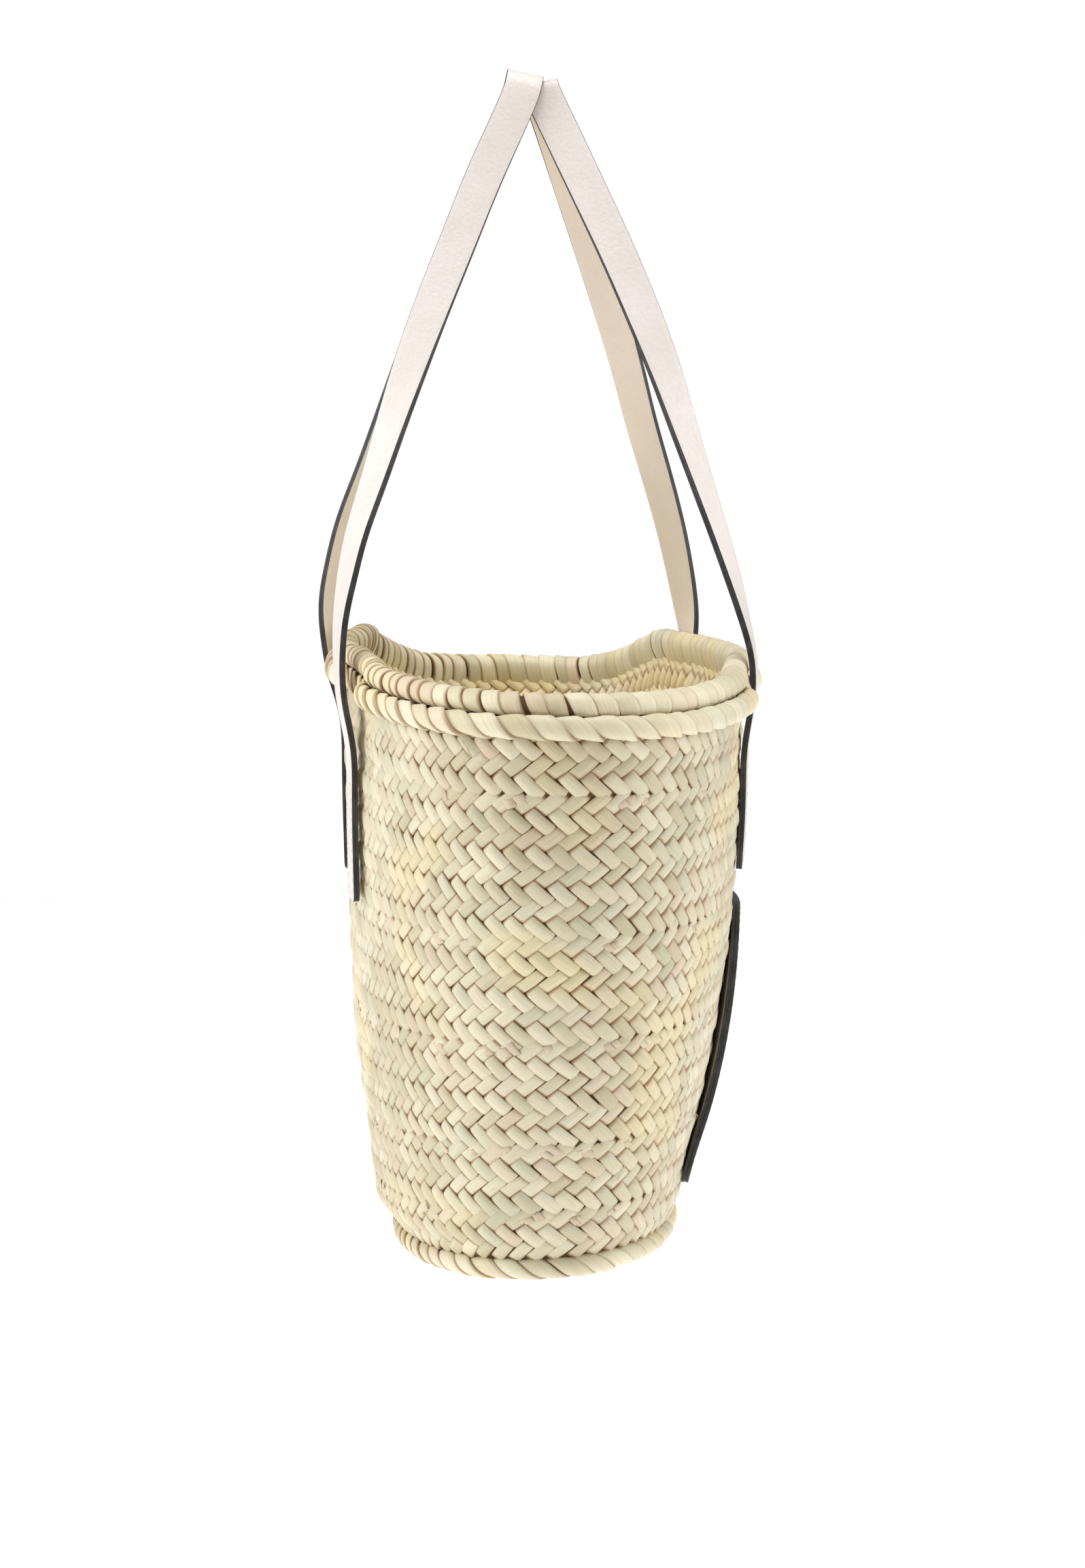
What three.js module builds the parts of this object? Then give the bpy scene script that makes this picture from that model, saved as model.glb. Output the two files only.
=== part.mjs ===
import * as THREE from 'three';

// A plaited palm-leaf shopper that hangs by two long leather handles.
// Millimetres, +Z up. The origin is where the handles hang. X runs along the bag's long side,
// and the front, with the leather patch, faces -Y.

// Basket, measured on the outer face of its wall
const rimLength = 496;
const rimDepth = 219;
const rimForward = 2.5;
const footLength = 312;
const footDepth = 149.5;
const footForward = -2.75;
const centreY = -4;
const farSwing = 2;
const farTuck = 0.17;
const swingReach = 150;
const wallHeight = 300.5;
const wallThickness = 4.5;
const bandRelief = 0.9;
const planPower = 2.15;
const nearDip = 9;
const nearDipStart = 20;
const farDip = 27.5;
const farDipStart = 94;
const rimPitch = THREE.MathUtils.degToRad(2.4);
const rimLean = THREE.MathUtils.degToRad(0.9);
const footTilt = THREE.MathUtils.degToRad(3.6);

// Edging and base
const rollHeight = 12.6;
const rollWidth = 12.4;
const collarHeight = 11;
const collarWidth = 7.5;
const collarDent = 3.5;
const dentMargin = 12;
const dentEase = 22;
const coilDiameter = 10;
const baseThickness = 4;
const seam = 0.35;

// Handles
const handleRise = 300.5;
const handleSpread = 184;
const strapWidth = 20;
const strapLeather = 1.8;
const strapLining = 1.1;
const frontFoldRadius = 4;
const foldSpacing = 5.3;
const frontFoldY = -5.5;
const backFoldY = 5;
const foldTilt = THREE.MathUtils.degToRad(9);
const strapPull = 4;
const pullHeight = 75;
const strapEase = 22;
const strapEaseStart = 2;

// Patch
const patchLength = 150;
const patchHeight = 155.5;
const patchDrop = 126;
const patchLeather = 2.2;
const patchBacking = 1.6;
const patchBow = 3.6;
const patchStandoff = 0.8;

// Mesh steps
const ringSteps = 64;
const wallSteps = 24;
const innerSteps = 6;
const bandCount = 6;
const edgingSides = 8;
const strapWallSteps = 8;
const strapFreeSteps = 30;
const foldSteps = 12;
const patchSteps = 8;

// Profile of the wall. Rise is a share of the wall's height. The others say how far the wall
// has come from its foot size to its rim size.
const profile = [
  { rise: 0.00, length: 0.00, front: 0.00, back: 0.00 },
  { rise: 0.05, length: 0.09, front: 0.10, back: 0.35 },
  { rise: 0.12, length: 0.18, front: 0.20, back: 0.45 },
  { rise: 0.22, length: 0.31, front: 0.38, back: 0.58 },
  { rise: 0.35, length: 0.46, front: 0.56, back: 0.74 },
  { rise: 0.50, length: 0.61, front: 0.72, back: 0.81 },
  { rise: 0.65, length: 0.76, front: 0.82, back: 0.85 },
  { rise: 0.80, length: 0.88, front: 0.88, back: 0.89 },
  { rise: 0.92, length: 0.96, front: 0.94, back: 0.95 },
  { rise: 1.00, length: 1.00, front: 1.00, back: 1.00 },
];

// Seats of the four handle legs, front (side -1) and back (1), near (hand -1) and far (1).
// Reach is how far a leg runs down from the top of the roll. The gaps are its clearances
// from the wall and, higher up, from the collar.
const legSeats = [
  { side: -1, hand: -1, reach: 116, wallGap: 2, collarGap: 1 },
  { side: -1, hand: 1, reach: 116, wallGap: 2, collarGap: 1 },
  { side: 1, hand: -1, reach: 130, wallGap: 4, collarGap: 6 },
  { side: 1, hand: 1, reach: 134, wallGap: 5, collarGap: 11 },
];

// Route of the handle legs above the rim. Rise is a share of the handle's rise. Along, for
// X, and a column for each leg, for Y, are shares of the way from the fold to the leg's
// place at the rim.
const legRoute = [
  { rise: 0.00, frontNear: 1.000, frontFar: 1.000, backNear: 1.000, backFar: 1.000, along: 1.000 },
  { rise: 0.06, frontNear: 0.955, frontFar: 0.970, backNear: 0.990, backFar: 0.981, along: 0.960 },
  { rise: 0.12, frontNear: 0.915, frontFar: 0.930, backNear: 0.960, backFar: 0.943, along: 0.905 },
  { rise: 0.20, frontNear: 0.850, frontFar: 0.867, backNear: 0.910, backFar: 0.883, along: 0.825 },
  { rise: 0.30, frontNear: 0.762, frontFar: 0.768, backNear: 0.810, backFar: 0.773, along: 0.720 },
  { rise: 0.40, frontNear: 0.675, frontFar: 0.662, backNear: 0.715, backFar: 0.671, along: 0.615 },
  { rise: 0.50, frontNear: 0.590, frontFar: 0.570, backNear: 0.615, backFar: 0.569, along: 0.510 },
  { rise: 0.60, frontNear: 0.490, frontFar: 0.466, backNear: 0.505, backFar: 0.461, along: 0.400 },
  { rise: 0.72, frontNear: 0.355, frontFar: 0.332, backNear: 0.360, backFar: 0.325, along: 0.265 },
  { rise: 0.84, frontNear: 0.205, frontFar: 0.189, backNear: 0.215, backFar: 0.193, along: 0.135 },
  { rise: 0.94, frontNear: 0.065, frontFar: 0.058, backNear: 0.065, backFar: 0.056, along: 0.040 },
  { rise: 0.97, frontNear: 0.020, frontFar: 0.016, backNear: 0.020, backFar: 0.016, along: 0.015 },
  { rise: 1.00, frontNear: 0.000, frontFar: 0.000, backNear: 0.000, backFar: 0.000, along: 0.000 },
];

// How far a near and a far leg have turned at a rise, as a share of the quarter turn
// between lying flat on the wall and lying over the fold
const legTurn = [
  { rise: 0.00, near: 0.02, far: 0.16 },
  { rise: 0.06, near: 0.09, far: 0.32 },
  { rise: 0.12, near: 0.20, far: 0.39 },
  { rise: 0.20, near: 0.28, far: 0.45 },
  { rise: 0.30, near: 0.37, far: 0.49 },
  { rise: 0.40, near: 0.49, far: 0.52 },
  { rise: 0.50, near: 0.65, far: 0.56 },
  { rise: 0.60, near: 0.78, far: 0.64 },
  { rise: 0.72, near: 0.86, far: 0.80 },
  { rise: 0.84, near: 0.94, far: 0.94 },
  { rise: 0.94, near: 1.00, far: 1.00 },
  { rise: 1.00, near: 1.00, far: 1.00 },
];

const footLevel = -handleRise - rollHeight - seam - wallHeight;
const rimLevel = footLevel + wallHeight;
const strapThickness = strapLeather + seam + strapLining;
const collarSeat = bandRelief + seam;
const collarFoot = rollHeight + seam + collarHeight + strapEaseStart;
const up = new THREE.Vector3(0, 0, 1);

// Reads one column of a table at a place along another column, as a smooth curve
function readTable(table, key, column, place) {
  const last = table.length - 1;
  let i = 0;
  while (i < last - 1 && place > table[i + 1][key]) i += 1;
  const [a, b] = [table[i], table[i + 1]];
  const before = table[Math.max(i - 1, 0)];
  const after = table[Math.min(i + 2, last)];
  const span = b[key] - a[key];
  const slopeA = (b[column] - before[column]) / (b[key] - before[key]);
  const slopeB = (after[column] - a[column]) / (after[key] - a[key]);
  const t = THREE.MathUtils.clamp((place - a[key]) / span, 0, 1);
  const h = [2 * t ** 3 - 3 * t ** 2 + 1, t ** 3 - 2 * t ** 2 + t, 3 * t ** 2 - 2 * t ** 3, t ** 3 - t ** 2];
  return h[0] * a[column] + h[1] * span * slopeA + h[2] * b[column] + h[3] * span * slopeB;
}

// Half sizes of the plan at one rise. Its front half is deeper than its back half by
// twice the forward offset.
function planAt(rise) {
  const between = (foot, rim, column) => (
    THREE.MathUtils.lerp(foot, rim, readTable(profile, 'rise', column, rise))
  );
  return {
    half: between(footLength / 2, rimLength / 2, 'length'),
    front: between(footDepth / 2 + footForward, rimDepth / 2 + rimForward, 'front'),
    back: between(footDepth / 2 - footForward, rimDepth / 2 - rimForward, 'back'),
  };
}

// Point of the plan outline at an angle, and its outward direction
function planPoint(plan, angle) {
  const depth = Math.sin(angle) < 0 ? plan.front : plan.back;
  const bend = (value) => Math.sign(value) * Math.abs(value) ** (2 / planPower);
  const x = plan.half * bend(Math.cos(angle));
  const y = depth * bend(Math.sin(angle));
  const nx = Math.sign(x) * Math.abs(x / plan.half) ** (planPower - 1) / plan.half;
  const ny = Math.sign(y) * Math.abs(y / depth) ** (planPower - 1) / depth;
  return { x, y, out: new THREE.Vector3(nx, ny, 0).normalize() };
}

// Angle of the plan at which the outline passes a given X, on the front (-1) or the back (1)
function angleAt(plan, x, side) {
  const c = Math.sign(x) * Math.abs(x / plan.half) ** (planPower / 2);
  return side * Math.acos(THREE.MathUtils.clamp(c, -1, 1));
}

// Point near the wall: rise as a share of its height, out in mm from the outer face
function wallPoint(angle, rise, out) {
  const plan = planAt(rise);
  const { x, y, out: normal } = planPoint(plan, angle);
  const dip = x < 0
    ? nearDip * THREE.MathUtils.smoothstep(-x, nearDipStart, plan.half)
    : farDip * THREE.MathUtils.smoothstep(x, farDipStart, plan.half);
  const top = rimLevel - dip + Math.tan(rimLean) * y + Math.tan(rimPitch) * x;
  const bottom = footLevel - Math.tan(footTilt) * y;
  const farEnd = rise * THREE.MathUtils.smoothstep(x, -handleSpread / 2, swingReach);
  const tuck = y < 0 ? 1 - farTuck * farEnd : 1;
  const level = THREE.MathUtils.lerp(bottom, top, rise);
  const pullShare = THREE.MathUtils.smoothstep(rise, 1 - pullHeight / wallHeight, 1);
  const point = new THREE.Vector3(x, y * tuck + centreY + farSwing * farEnd, level);
  return point.addScaledVector(normal, out - strapPull * nearStrap(x) * pullShare);
}

// Full where a strap crosses the rim, and fading to nothing beside it
function nearStrap(x) {
  const fromEdge = Math.abs(Math.abs(x) - handleSpread / 2) - strapWidth / 2;
  return 1 - THREE.MathUtils.smoothstep(fromEdge, dentMargin, dentMargin + dentEase);
}

function outward(angle, rise) {
  return planPoint(planAt(rise), angle).out;
}

// The plait's bands stand proud between their seams, where they are sewn to each other
function bandBulge(rise) {
  return bandRelief * Math.sqrt(Math.abs(Math.sin(Math.PI * bandCount * rise)));
}

// Closed mesh from rings of points, each ring a closed section of equal count.
// The rings join end to start when looped. Otherwise each end is closed by a strip that
// joins the first half of the section to the second half.
function skin(name, rings, looped, material) {
  const count = rings[0].length;
  const positions = rings.flat().flatMap((p) => [p.x, p.y, p.z]);
  const faces = [];
  const lastRing = looped ? rings.length : rings.length - 1;
  for (let i = 0; i < lastRing; i += 1) {
    const a = i * count;
    const b = ((i + 1) % rings.length) * count;
    for (let j = 0; j < count; j += 1) {
      const k = (j + 1) % count;
      faces.push(a + j, b + j, b + k, a + j, b + k, a + k);
    }
  }
  if (!looped) {
    const end = (rings.length - 1) * count;
    for (let j = 0; j < count / 2 - 1; j += 1) {
      const [near, far] = [count - 1 - j, count - 2 - j];
      faces.push(near, j, j + 1, near, j + 1, far);
      faces.push(end + near, end + j + 1, end + j, end + near, end + far, end + j + 1);
    }
  }
  const geometry = new THREE.BufferGeometry();
  geometry.setAttribute('position', new THREE.Float32BufferAttribute(positions, 3));
  geometry.setIndex(enclosed(positions, faces) < 0 ? faces.reverse() : faces);
  geometry.computeVertexNormals();
  const mesh = new THREE.Mesh(geometry, material);
  mesh.name = name;
  return mesh;
}

// Signed volume of a triangle list, to tell whether its faces point out
function enclosed(positions, faces) {
  const corner = (i) => new THREE.Vector3().fromArray(positions, i * 3);
  let sum = 0;
  for (let i = 0; i < faces.length; i += 3) {
    const [a, b, c] = [corner(faces[i]), corner(faces[i + 1]), corner(faces[i + 2])];
    sum += a.dot(b.cross(c));
  }
  return sum;
}

const around = (steps) => Array.from({ length: steps }, (_, i) => (i / steps) * 2 * Math.PI);
const shares = (steps) => Array.from({ length: steps + 1 }, (_, i) => i / steps);
const ringAngles = around(ringSteps);

function finish(color, roughness) {
  return new THREE.MeshStandardMaterial({ color, roughness, metalness: 0 });
}

const palmLeaf = finish(0xe2d6b4, 0.7);
const palmEdge = finish(0xe6dcc0, 0.65);
const creamLeather = finish(0xeeebe6, 0.55);
const tanLining = finish(0xd9c7b0, 0.7);
const darkBacking = finish(0x2a2725, 0.6);

// Wall: an open sleeve whose section runs up the outer face and down the inner one
function basketWall() {
  const rings = ringAngles.map((angle) => {
    const outer = shares(wallSteps).map((rise) => wallPoint(angle, rise, bandBulge(rise)));
    const inner = shares(innerSteps).map((share) => wallPoint(angle, 1 - share, -wallThickness));
    return [...outer, ...inner];
  });
  return skin('basket_wall', rings, true, palmLeaf);
}

// Ring with an oval section that follows the wall's plan at one rise. Out is the place of
// its inner side, and squeeze is how much narrower it is where a strap crosses it.
function edging(name, rise, out, lift, size, height, squeeze, material) {
  const rings = ringAngles.map((angle) => {
    const width = size - squeeze * nearStrap(wallPoint(angle, rise, 0).x);
    const centre = wallPoint(angle, rise, out + width / 2).addScaledVector(up, lift);
    const normal = outward(angle, rise);
    return around(edgingSides).map((turn) => centre.clone()
      .addScaledVector(normal, (width / 2) * Math.cos(turn))
      .addScaledVector(up, (height / 2) * Math.sin(turn)));
  });
  return skin(name, rings, true, material);
}

// Base: a flat oval plait inside the foot coil, with its underside level with the coil's
function basePanel() {
  const inset = wallThickness / 2 + coilDiameter / 2 + seam;
  const underside = -seam - coilDiameter;
  const rings = [0, baseThickness].map((lift) => ringAngles.map((angle) => {
    const rim = wallPoint(angle, 0, -inset);
    return rim.addScaledVector(up, underside + lift);
  }));
  return skin('base_panel', rings, false, palmLeaf);
}

// Stations of one handle, from the lower end of its near leg to that of its far leg.
// Each holds the centre of the strap, its outer direction and how far it has turned.
function handleStations(side) {
  const foldRadius = side > 0 ? frontFoldRadius + foldSpacing : frontFoldRadius;
  const foldY = side > 0 ? backFoldY : frontFoldY;
  const foldLevel = -frontFoldRadius + strapThickness / 2;
  const lean = new THREE.Vector3(0, -side * Math.sin(foldTilt), Math.cos(foldTilt));
  const foldCentre = new THREE.Vector3(0, foldY, foldLevel);

  const leg = (hand) => {
    const seat = legSeats.find((row) => row.side === side && row.hand === hand);
    const rim = planAt(1);
    const angle = angleAt(rim, hand * handleSpread / 2, side);
    const flatOut = outward(angle, 1);
    const pressed = collarSeat + collarWidth - collarDent;
    const collarOut = pressed + seat.collarGap + strapThickness / 2;
    const wallOut = seat.wallGap + strapThickness / 2;
    const onWall = [];
    for (let i = 0; i < strapWallSteps; i += 1) {
      const drop = seat.reach * (1 - i / strapWallSteps);
      const clear = 1 - THREE.MathUtils.smoothstep(drop, collarFoot, collarFoot + strapEase);
      const out = THREE.MathUtils.lerp(wallOut, collarOut, clear);
      const belowRim = Math.max(drop - rollHeight, 0);
      const aboveRim = Math.max(rollHeight - drop, 0);
      const centre = wallPoint(angle, 1 - belowRim / wallHeight, out).addScaledVector(up, aboveRim);
      onWall.push({ centre, flatOut, turn: 0 });
    }
    const start = wallPoint(angle, 1, collarOut).addScaledVector(up, rollHeight);
    const top = foldCentre.clone().addScaledVector(new THREE.Vector3(hand, 0, 0), foldRadius);
    const route = (side < 0 ? 'front' : 'back') + (hand < 0 ? 'Near' : 'Far');
    const above = [];
    for (let i = 0; i < strapFreeSteps; i += 1) {
      const rise = i / strapFreeSteps;
      const out = readTable(legRoute, 'rise', route, rise);
      const along = readTable(legRoute, 'rise', 'along', rise);
      const centre = new THREE.Vector3(
        THREE.MathUtils.lerp(top.x, start.x, along),
        THREE.MathUtils.lerp(top.y, start.y, out),
        THREE.MathUtils.lerp(start.z, top.z, rise),
      );
      const turn = readTable(legTurn, 'rise', hand < 0 ? 'near' : 'far', rise);
      above.push({ centre, flatOut, turn });
    }
    return [...onWall, ...above].map((s) => ({ ...s, loopOut: new THREE.Vector3(hand, 0, 0) }));
  };

  const fold = shares(foldSteps).map((share) => {
    const angle = Math.PI * (1 - share);
    const loopOut = new THREE.Vector3(Math.cos(angle), 0, 0).addScaledVector(lean, Math.sin(angle));
    const along = new THREE.Vector3(Math.sin(angle), 0, 0).addScaledVector(lean, -Math.cos(angle));
    const centre = foldCentre.clone().addScaledVector(loopOut, foldRadius);
    return { centre, flatOut: loopOut, loopOut, turn: 1, along };
  });
  return [...leg(-1), ...fold, ...leg(1).reverse()];
}

// One ply of a strap: the layer between two depths across its thickness. Plies that face
// each other both start at the faces that meet, so that their twisted faces stay parallel.
function strapPly(name, stations, from, to, width, material) {
  const rings = stations.map((station, i) => {
    const before = stations[Math.max(i - 1, 0)].centre;
    const after = stations[Math.min(i + 1, stations.length - 1)].centre;
    const along = station.along ?? after.clone().sub(before).normalize();
    const angle = station.turn * Math.PI / 2;
    const out = station.flatOut.clone().multiplyScalar(Math.cos(angle))
      .addScaledVector(station.loopOut, Math.sin(angle));
    out.addScaledVector(along, -out.dot(along)).normalize();
    const across = along.clone().cross(out).normalize();
    const corners = [[-1, from], [1, from], [1, to], [-1, to]];
    return corners.map(([edge, depth]) => station.centre.clone()
      .addScaledVector(across, edge * width / 2)
      .addScaledVector(out, depth));
  });
  return skin(name, rings, false, material);
}

function handle(label, side) {
  const stations = handleStations(side);
  const half = strapThickness / 2;
  return [
    strapPly(`handle_${label}_leather`, stations, half - strapLeather, half, strapWidth, creamLeather),
    strapPly(`handle_${label}_lining`, stations, strapLining - half, -half, strapWidth, tanLining),
  ];
}

// One ply of the patch: follows the wall's front and bows off it between top and bottom
function patchPly(name, clearance, thickness, material) {
  const columns = shares(patchSteps);
  const rows = shares(patchSteps);
  const face = (out) => rows.map((row) => columns.map((column) => {
    const drop = patchDrop + patchHeight * row;
    const rise = 1 - drop / wallHeight;
    const x = patchLength * (column - 0.5);
    const bow = patchBow * Math.sin(Math.PI * row) * (2 * column - 1) ** 2;
    return wallPoint(angleAt(planAt(rise), x, -1), rise, clearance + bow + out);
  }));
  const inner = face(0);
  const outer = face(thickness);
  const rings = rows.map((_, i) => [...inner[i], ...outer[i].reverse()]);
  return skin(name, rings, false, material);
}

const patchSeat = bandRelief + patchStandoff;
const bag = new THREE.Group();
bag.add(
  basketWall(),
  basePanel(),
  edging('foot_coil', 0, -(wallThickness + coilDiameter) / 2, -seam - coilDiameter / 2,
    coilDiameter, coilDiameter, 0, palmEdge),
  edging('rim_roll', 1, -(wallThickness + rollWidth) / 2, seam + rollHeight / 2,
    rollWidth, rollHeight, 0, palmEdge),
  edging('collar_twist', 1, collarSeat, -collarHeight / 2,
    collarWidth, collarHeight, collarDent, palmEdge),
  ...handle('front', -1),
  ...handle('back', 1),
  patchPly('patch_backing', patchSeat, patchBacking, darkBacking),
  patchPly('patch_leather', patchSeat + patchBacking + seam, patchLeather, creamLeather),
);

export default bag;
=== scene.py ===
"""Looks of a plaited palm-leaf shopper bag: woven wall and base, wrapped rim, twisted collar and
foot, leather handles and a bare leather patch. Metres, +Z up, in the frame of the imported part."""

import math

import bpy
import numpy as np
from mathutils import Matrix, Vector


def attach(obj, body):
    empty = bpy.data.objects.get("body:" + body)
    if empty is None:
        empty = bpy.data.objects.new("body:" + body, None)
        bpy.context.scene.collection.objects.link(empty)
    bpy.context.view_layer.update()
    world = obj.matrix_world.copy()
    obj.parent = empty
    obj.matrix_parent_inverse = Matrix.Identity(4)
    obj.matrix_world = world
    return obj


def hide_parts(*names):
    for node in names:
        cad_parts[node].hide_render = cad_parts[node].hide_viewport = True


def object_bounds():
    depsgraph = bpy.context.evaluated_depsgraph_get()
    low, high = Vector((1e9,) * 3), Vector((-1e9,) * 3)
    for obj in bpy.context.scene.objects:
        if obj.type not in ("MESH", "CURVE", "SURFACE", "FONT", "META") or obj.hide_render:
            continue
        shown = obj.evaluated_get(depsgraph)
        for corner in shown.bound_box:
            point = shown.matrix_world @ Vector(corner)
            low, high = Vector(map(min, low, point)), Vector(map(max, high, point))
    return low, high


bl_info = {
    "name": "Palm-leaf shopper bag",
    "version": (1, 0, 0),
    "blender": (4, 5, 0),
    "location": "3D View > Sidebar > Shopper Bag",
    "description": "Builds the woven basket, its edging, leather handles and patch",
    "category": "Object",
}

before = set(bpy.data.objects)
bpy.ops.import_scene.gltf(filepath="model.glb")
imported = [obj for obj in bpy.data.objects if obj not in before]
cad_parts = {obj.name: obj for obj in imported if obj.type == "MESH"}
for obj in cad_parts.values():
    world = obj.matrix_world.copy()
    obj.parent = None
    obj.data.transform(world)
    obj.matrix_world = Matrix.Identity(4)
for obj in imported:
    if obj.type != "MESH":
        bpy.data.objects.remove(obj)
cad_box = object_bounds()

# Basket form, in metres, on the outer face of its wall
RIM_LENGTH = 0.496
RIM_DEPTH = 0.219
RIM_FORWARD = 0.0025
FOOT_LENGTH = 0.312
FOOT_DEPTH = 0.1495
FOOT_FORWARD = -0.00275
CENTRE_Y = -0.004
FAR_SWING = 0.002
FAR_TUCK = 0.17
SWING_REACH = 0.150
WALL_HEIGHT = 0.3005
WALL_THICKNESS = 0.0045
BAND_RELIEF = 0.0009
PLAN_POWER = 2.15
NEAR_DIP = 0.009
NEAR_DIP_START = 0.020
FAR_DIP = 0.0275
FAR_DIP_START = 0.094
RIM_PITCH = math.radians(2.4)
RIM_LEAN = math.radians(0.9)
FOOT_TILT = math.radians(3.6)

# Edging and base
ROLL_HEIGHT = 0.0126
ROLL_WIDTH = 0.0124
COLLAR_HEIGHT = 0.011
COLLAR_WIDTH = 0.0075
COLLAR_DENT = 0.0035
DENT_MARGIN = 0.012
DENT_EASE = 0.022
COIL_DIAMETER = 0.010
BASE_THICKNESS = 0.004
SEAM = 0.00035

# Handles
HANDLE_RISE = 0.3005
HANDLE_SPREAD = 0.184
STRAP_WIDTH = 0.020
STRAP_LEATHER = 0.0018
STRAP_LINING = 0.0011
FRONT_FOLD_RADIUS = 0.004
FOLD_SPACING = 0.0053
FRONT_FOLD_Y = -0.0055
BACK_FOLD_Y = 0.005
FOLD_TILT = math.radians(12)
STRAP_PULL = 0.004
PULL_HEIGHT = 0.075
STRAP_EASE = 0.022
STRAP_EASE_START = 0.002

# Patch
PATCH_LENGTH = 0.150
PATCH_HEIGHT = 0.1555
PATCH_DROP = 0.126
PATCH_LEATHER = 0.0022
PATCH_BACKING = 0.0016
PATCH_BOW = 0.0036
PATCH_STANDOFF = 0.0008

# Camera, for a frame of 1596 x 2306 pixels
FRAME_HEIGHT = 2306
CAMERA_DISTANCE = 2.0
CAMERA_BEARING = math.radians(3.0)
CAMERA_LEVEL = -0.242
FOCAL_PIXELS = 5340
AIM_RIGHT_PIXELS = 17
AIM_DOWN_PIXELS = 370

LIGHT_AIM = Vector((0, 0, -0.4))


def table(columns, *rows):
    """The rows of a table, each with its values by the names of the columns."""
    return [dict(zip(columns.split(), row)) for row in rows]


# Profile of the wall: how far it has come from its foot size to its rim size at each rise
PROFILE = table(
    "rise length front back",
    (0.00, 0.00, 0.00, 0.00),
    (0.05, 0.09, 0.10, 0.35),
    (0.12, 0.18, 0.20, 0.45),
    (0.22, 0.31, 0.38, 0.58),
    (0.35, 0.46, 0.56, 0.74),
    (0.50, 0.61, 0.72, 0.81),
    (0.65, 0.76, 0.82, 0.85),
    (0.80, 0.88, 0.88, 0.89),
    (0.92, 0.96, 0.94, 0.95),
    (1.00, 1.00, 1.00, 1.00),
)

# Seats of the four handle legs, front (side -1) and back (1), near (hand -1) and far (1)
LEG_SEATS = table(
    "side hand reach wall_gap collar_gap",
    (-1, -1, 0.116, 0.002, 0.001),
    (-1, 1, 0.116, 0.002, 0.001),
    (1, -1, 0.130, 0.004, 0.006),
    (1, 1, 0.134, 0.005, 0.011),
)

# Route of the handle legs above the rim, as shares of the way from the fold to the rim
LEG_ROUTE = table(
    "rise front_near front_far back_near back_far along",
    (0.00, 1.000, 1.000, 1.000, 1.000, 1.000),
    (0.06, 0.955, 0.970, 0.990, 0.981, 0.960),
    (0.12, 0.915, 0.930, 0.960, 0.943, 0.905),
    (0.20, 0.850, 0.867, 0.910, 0.883, 0.825),
    (0.30, 0.762, 0.768, 0.810, 0.773, 0.720),
    (0.40, 0.675, 0.662, 0.715, 0.671, 0.615),
    (0.50, 0.590, 0.570, 0.615, 0.569, 0.510),
    (0.60, 0.490, 0.466, 0.505, 0.461, 0.400),
    (0.72, 0.355, 0.332, 0.360, 0.325, 0.265),
    (0.84, 0.205, 0.189, 0.215, 0.193, 0.135),
    (0.94, 0.078, 0.072, 0.078, 0.070, 0.040),
    (0.97, 0.037, 0.034, 0.037, 0.033, 0.015),
    (1.00, 0.000, 0.000, 0.000, 0.000, 0.000),
)

# How far a near and a far leg have turned at a rise, as a share of a quarter turn
LEG_TURN = table(
    "rise near far",
    (0.00, 0.02, 0.16),
    (0.06, 0.09, 0.32),
    (0.12, 0.20, 0.39),
    (0.20, 0.28, 0.45),
    (0.30, 0.37, 0.49),
    (0.40, 0.49, 0.52),
    (0.50, 0.65, 0.56),
    (0.60, 0.78, 0.64),
    (0.72, 0.86, 0.80),
    (0.84, 0.94, 0.94),
    (0.94, 1.00, 1.00),
    (1.00, 1.00, 1.00),
)

FOOT_LEVEL = -HANDLE_RISE - ROLL_HEIGHT - SEAM - WALL_HEIGHT
RIM_LEVEL = FOOT_LEVEL + WALL_HEIGHT
STRAP_THICKNESS = STRAP_LEATHER + SEAM + STRAP_LINING
COLLAR_SEAT = BAND_RELIEF + SEAM
COLLAR_FOOT = ROLL_HEIGHT + SEAM + COLLAR_HEIGHT + STRAP_EASE_START
PATCH_SEAT = BAND_RELIEF + PATCH_STANDOFF
UP = np.array([0.0, 0.0, 1.0])


def lerp(a, b, t):
    return a + (b - a) * t


def smoothstep(x, low, high):
    t = np.clip((np.asarray(x, float) - low) / (high - low), 0, 1)
    return t * t * (3 - 2 * t)


def unit(v):
    return v / np.linalg.norm(v, axis=-1, keepdims=True)


def run_along(line):
    """How far each point of a line is from its start, along the line."""
    return np.concatenate([[0], np.cumsum(np.linalg.norm(np.diff(line, axis=0), axis=1))])


def at_run(places, run, line):
    """Points of a line, or of values beside it, at places along its run."""
    return np.stack([np.interp(places, run, line[:, k]) for k in range(3)], -1)


def read_table(table, column, rise):
    """Reads one column of a table at places along its rise, as a smooth curve."""
    at = np.array([row["rise"] for row in table])
    value = np.array([row[column] for row in table])
    rise = np.asarray(rise, float)
    i = np.clip(np.searchsorted(at, rise, side="right") - 1, 0, len(at) - 2)
    before = np.maximum(i - 1, 0)
    after = np.minimum(i + 2, len(at) - 1)
    span = at[i + 1] - at[i]
    slope_a = (value[i + 1] - value[before]) / (at[i + 1] - at[before])
    slope_b = (value[after] - value[i]) / (at[after] - at[i])
    t = np.clip((rise - at[i]) / span, 0, 1)
    start = (2 * t**3 - 3 * t**2 + 1) * value[i] + (t**3 - 2 * t**2 + t) * span * slope_a
    return start + (3 * t**2 - 2 * t**3) * value[i + 1] + (t**3 - t**2) * span * slope_b


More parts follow.
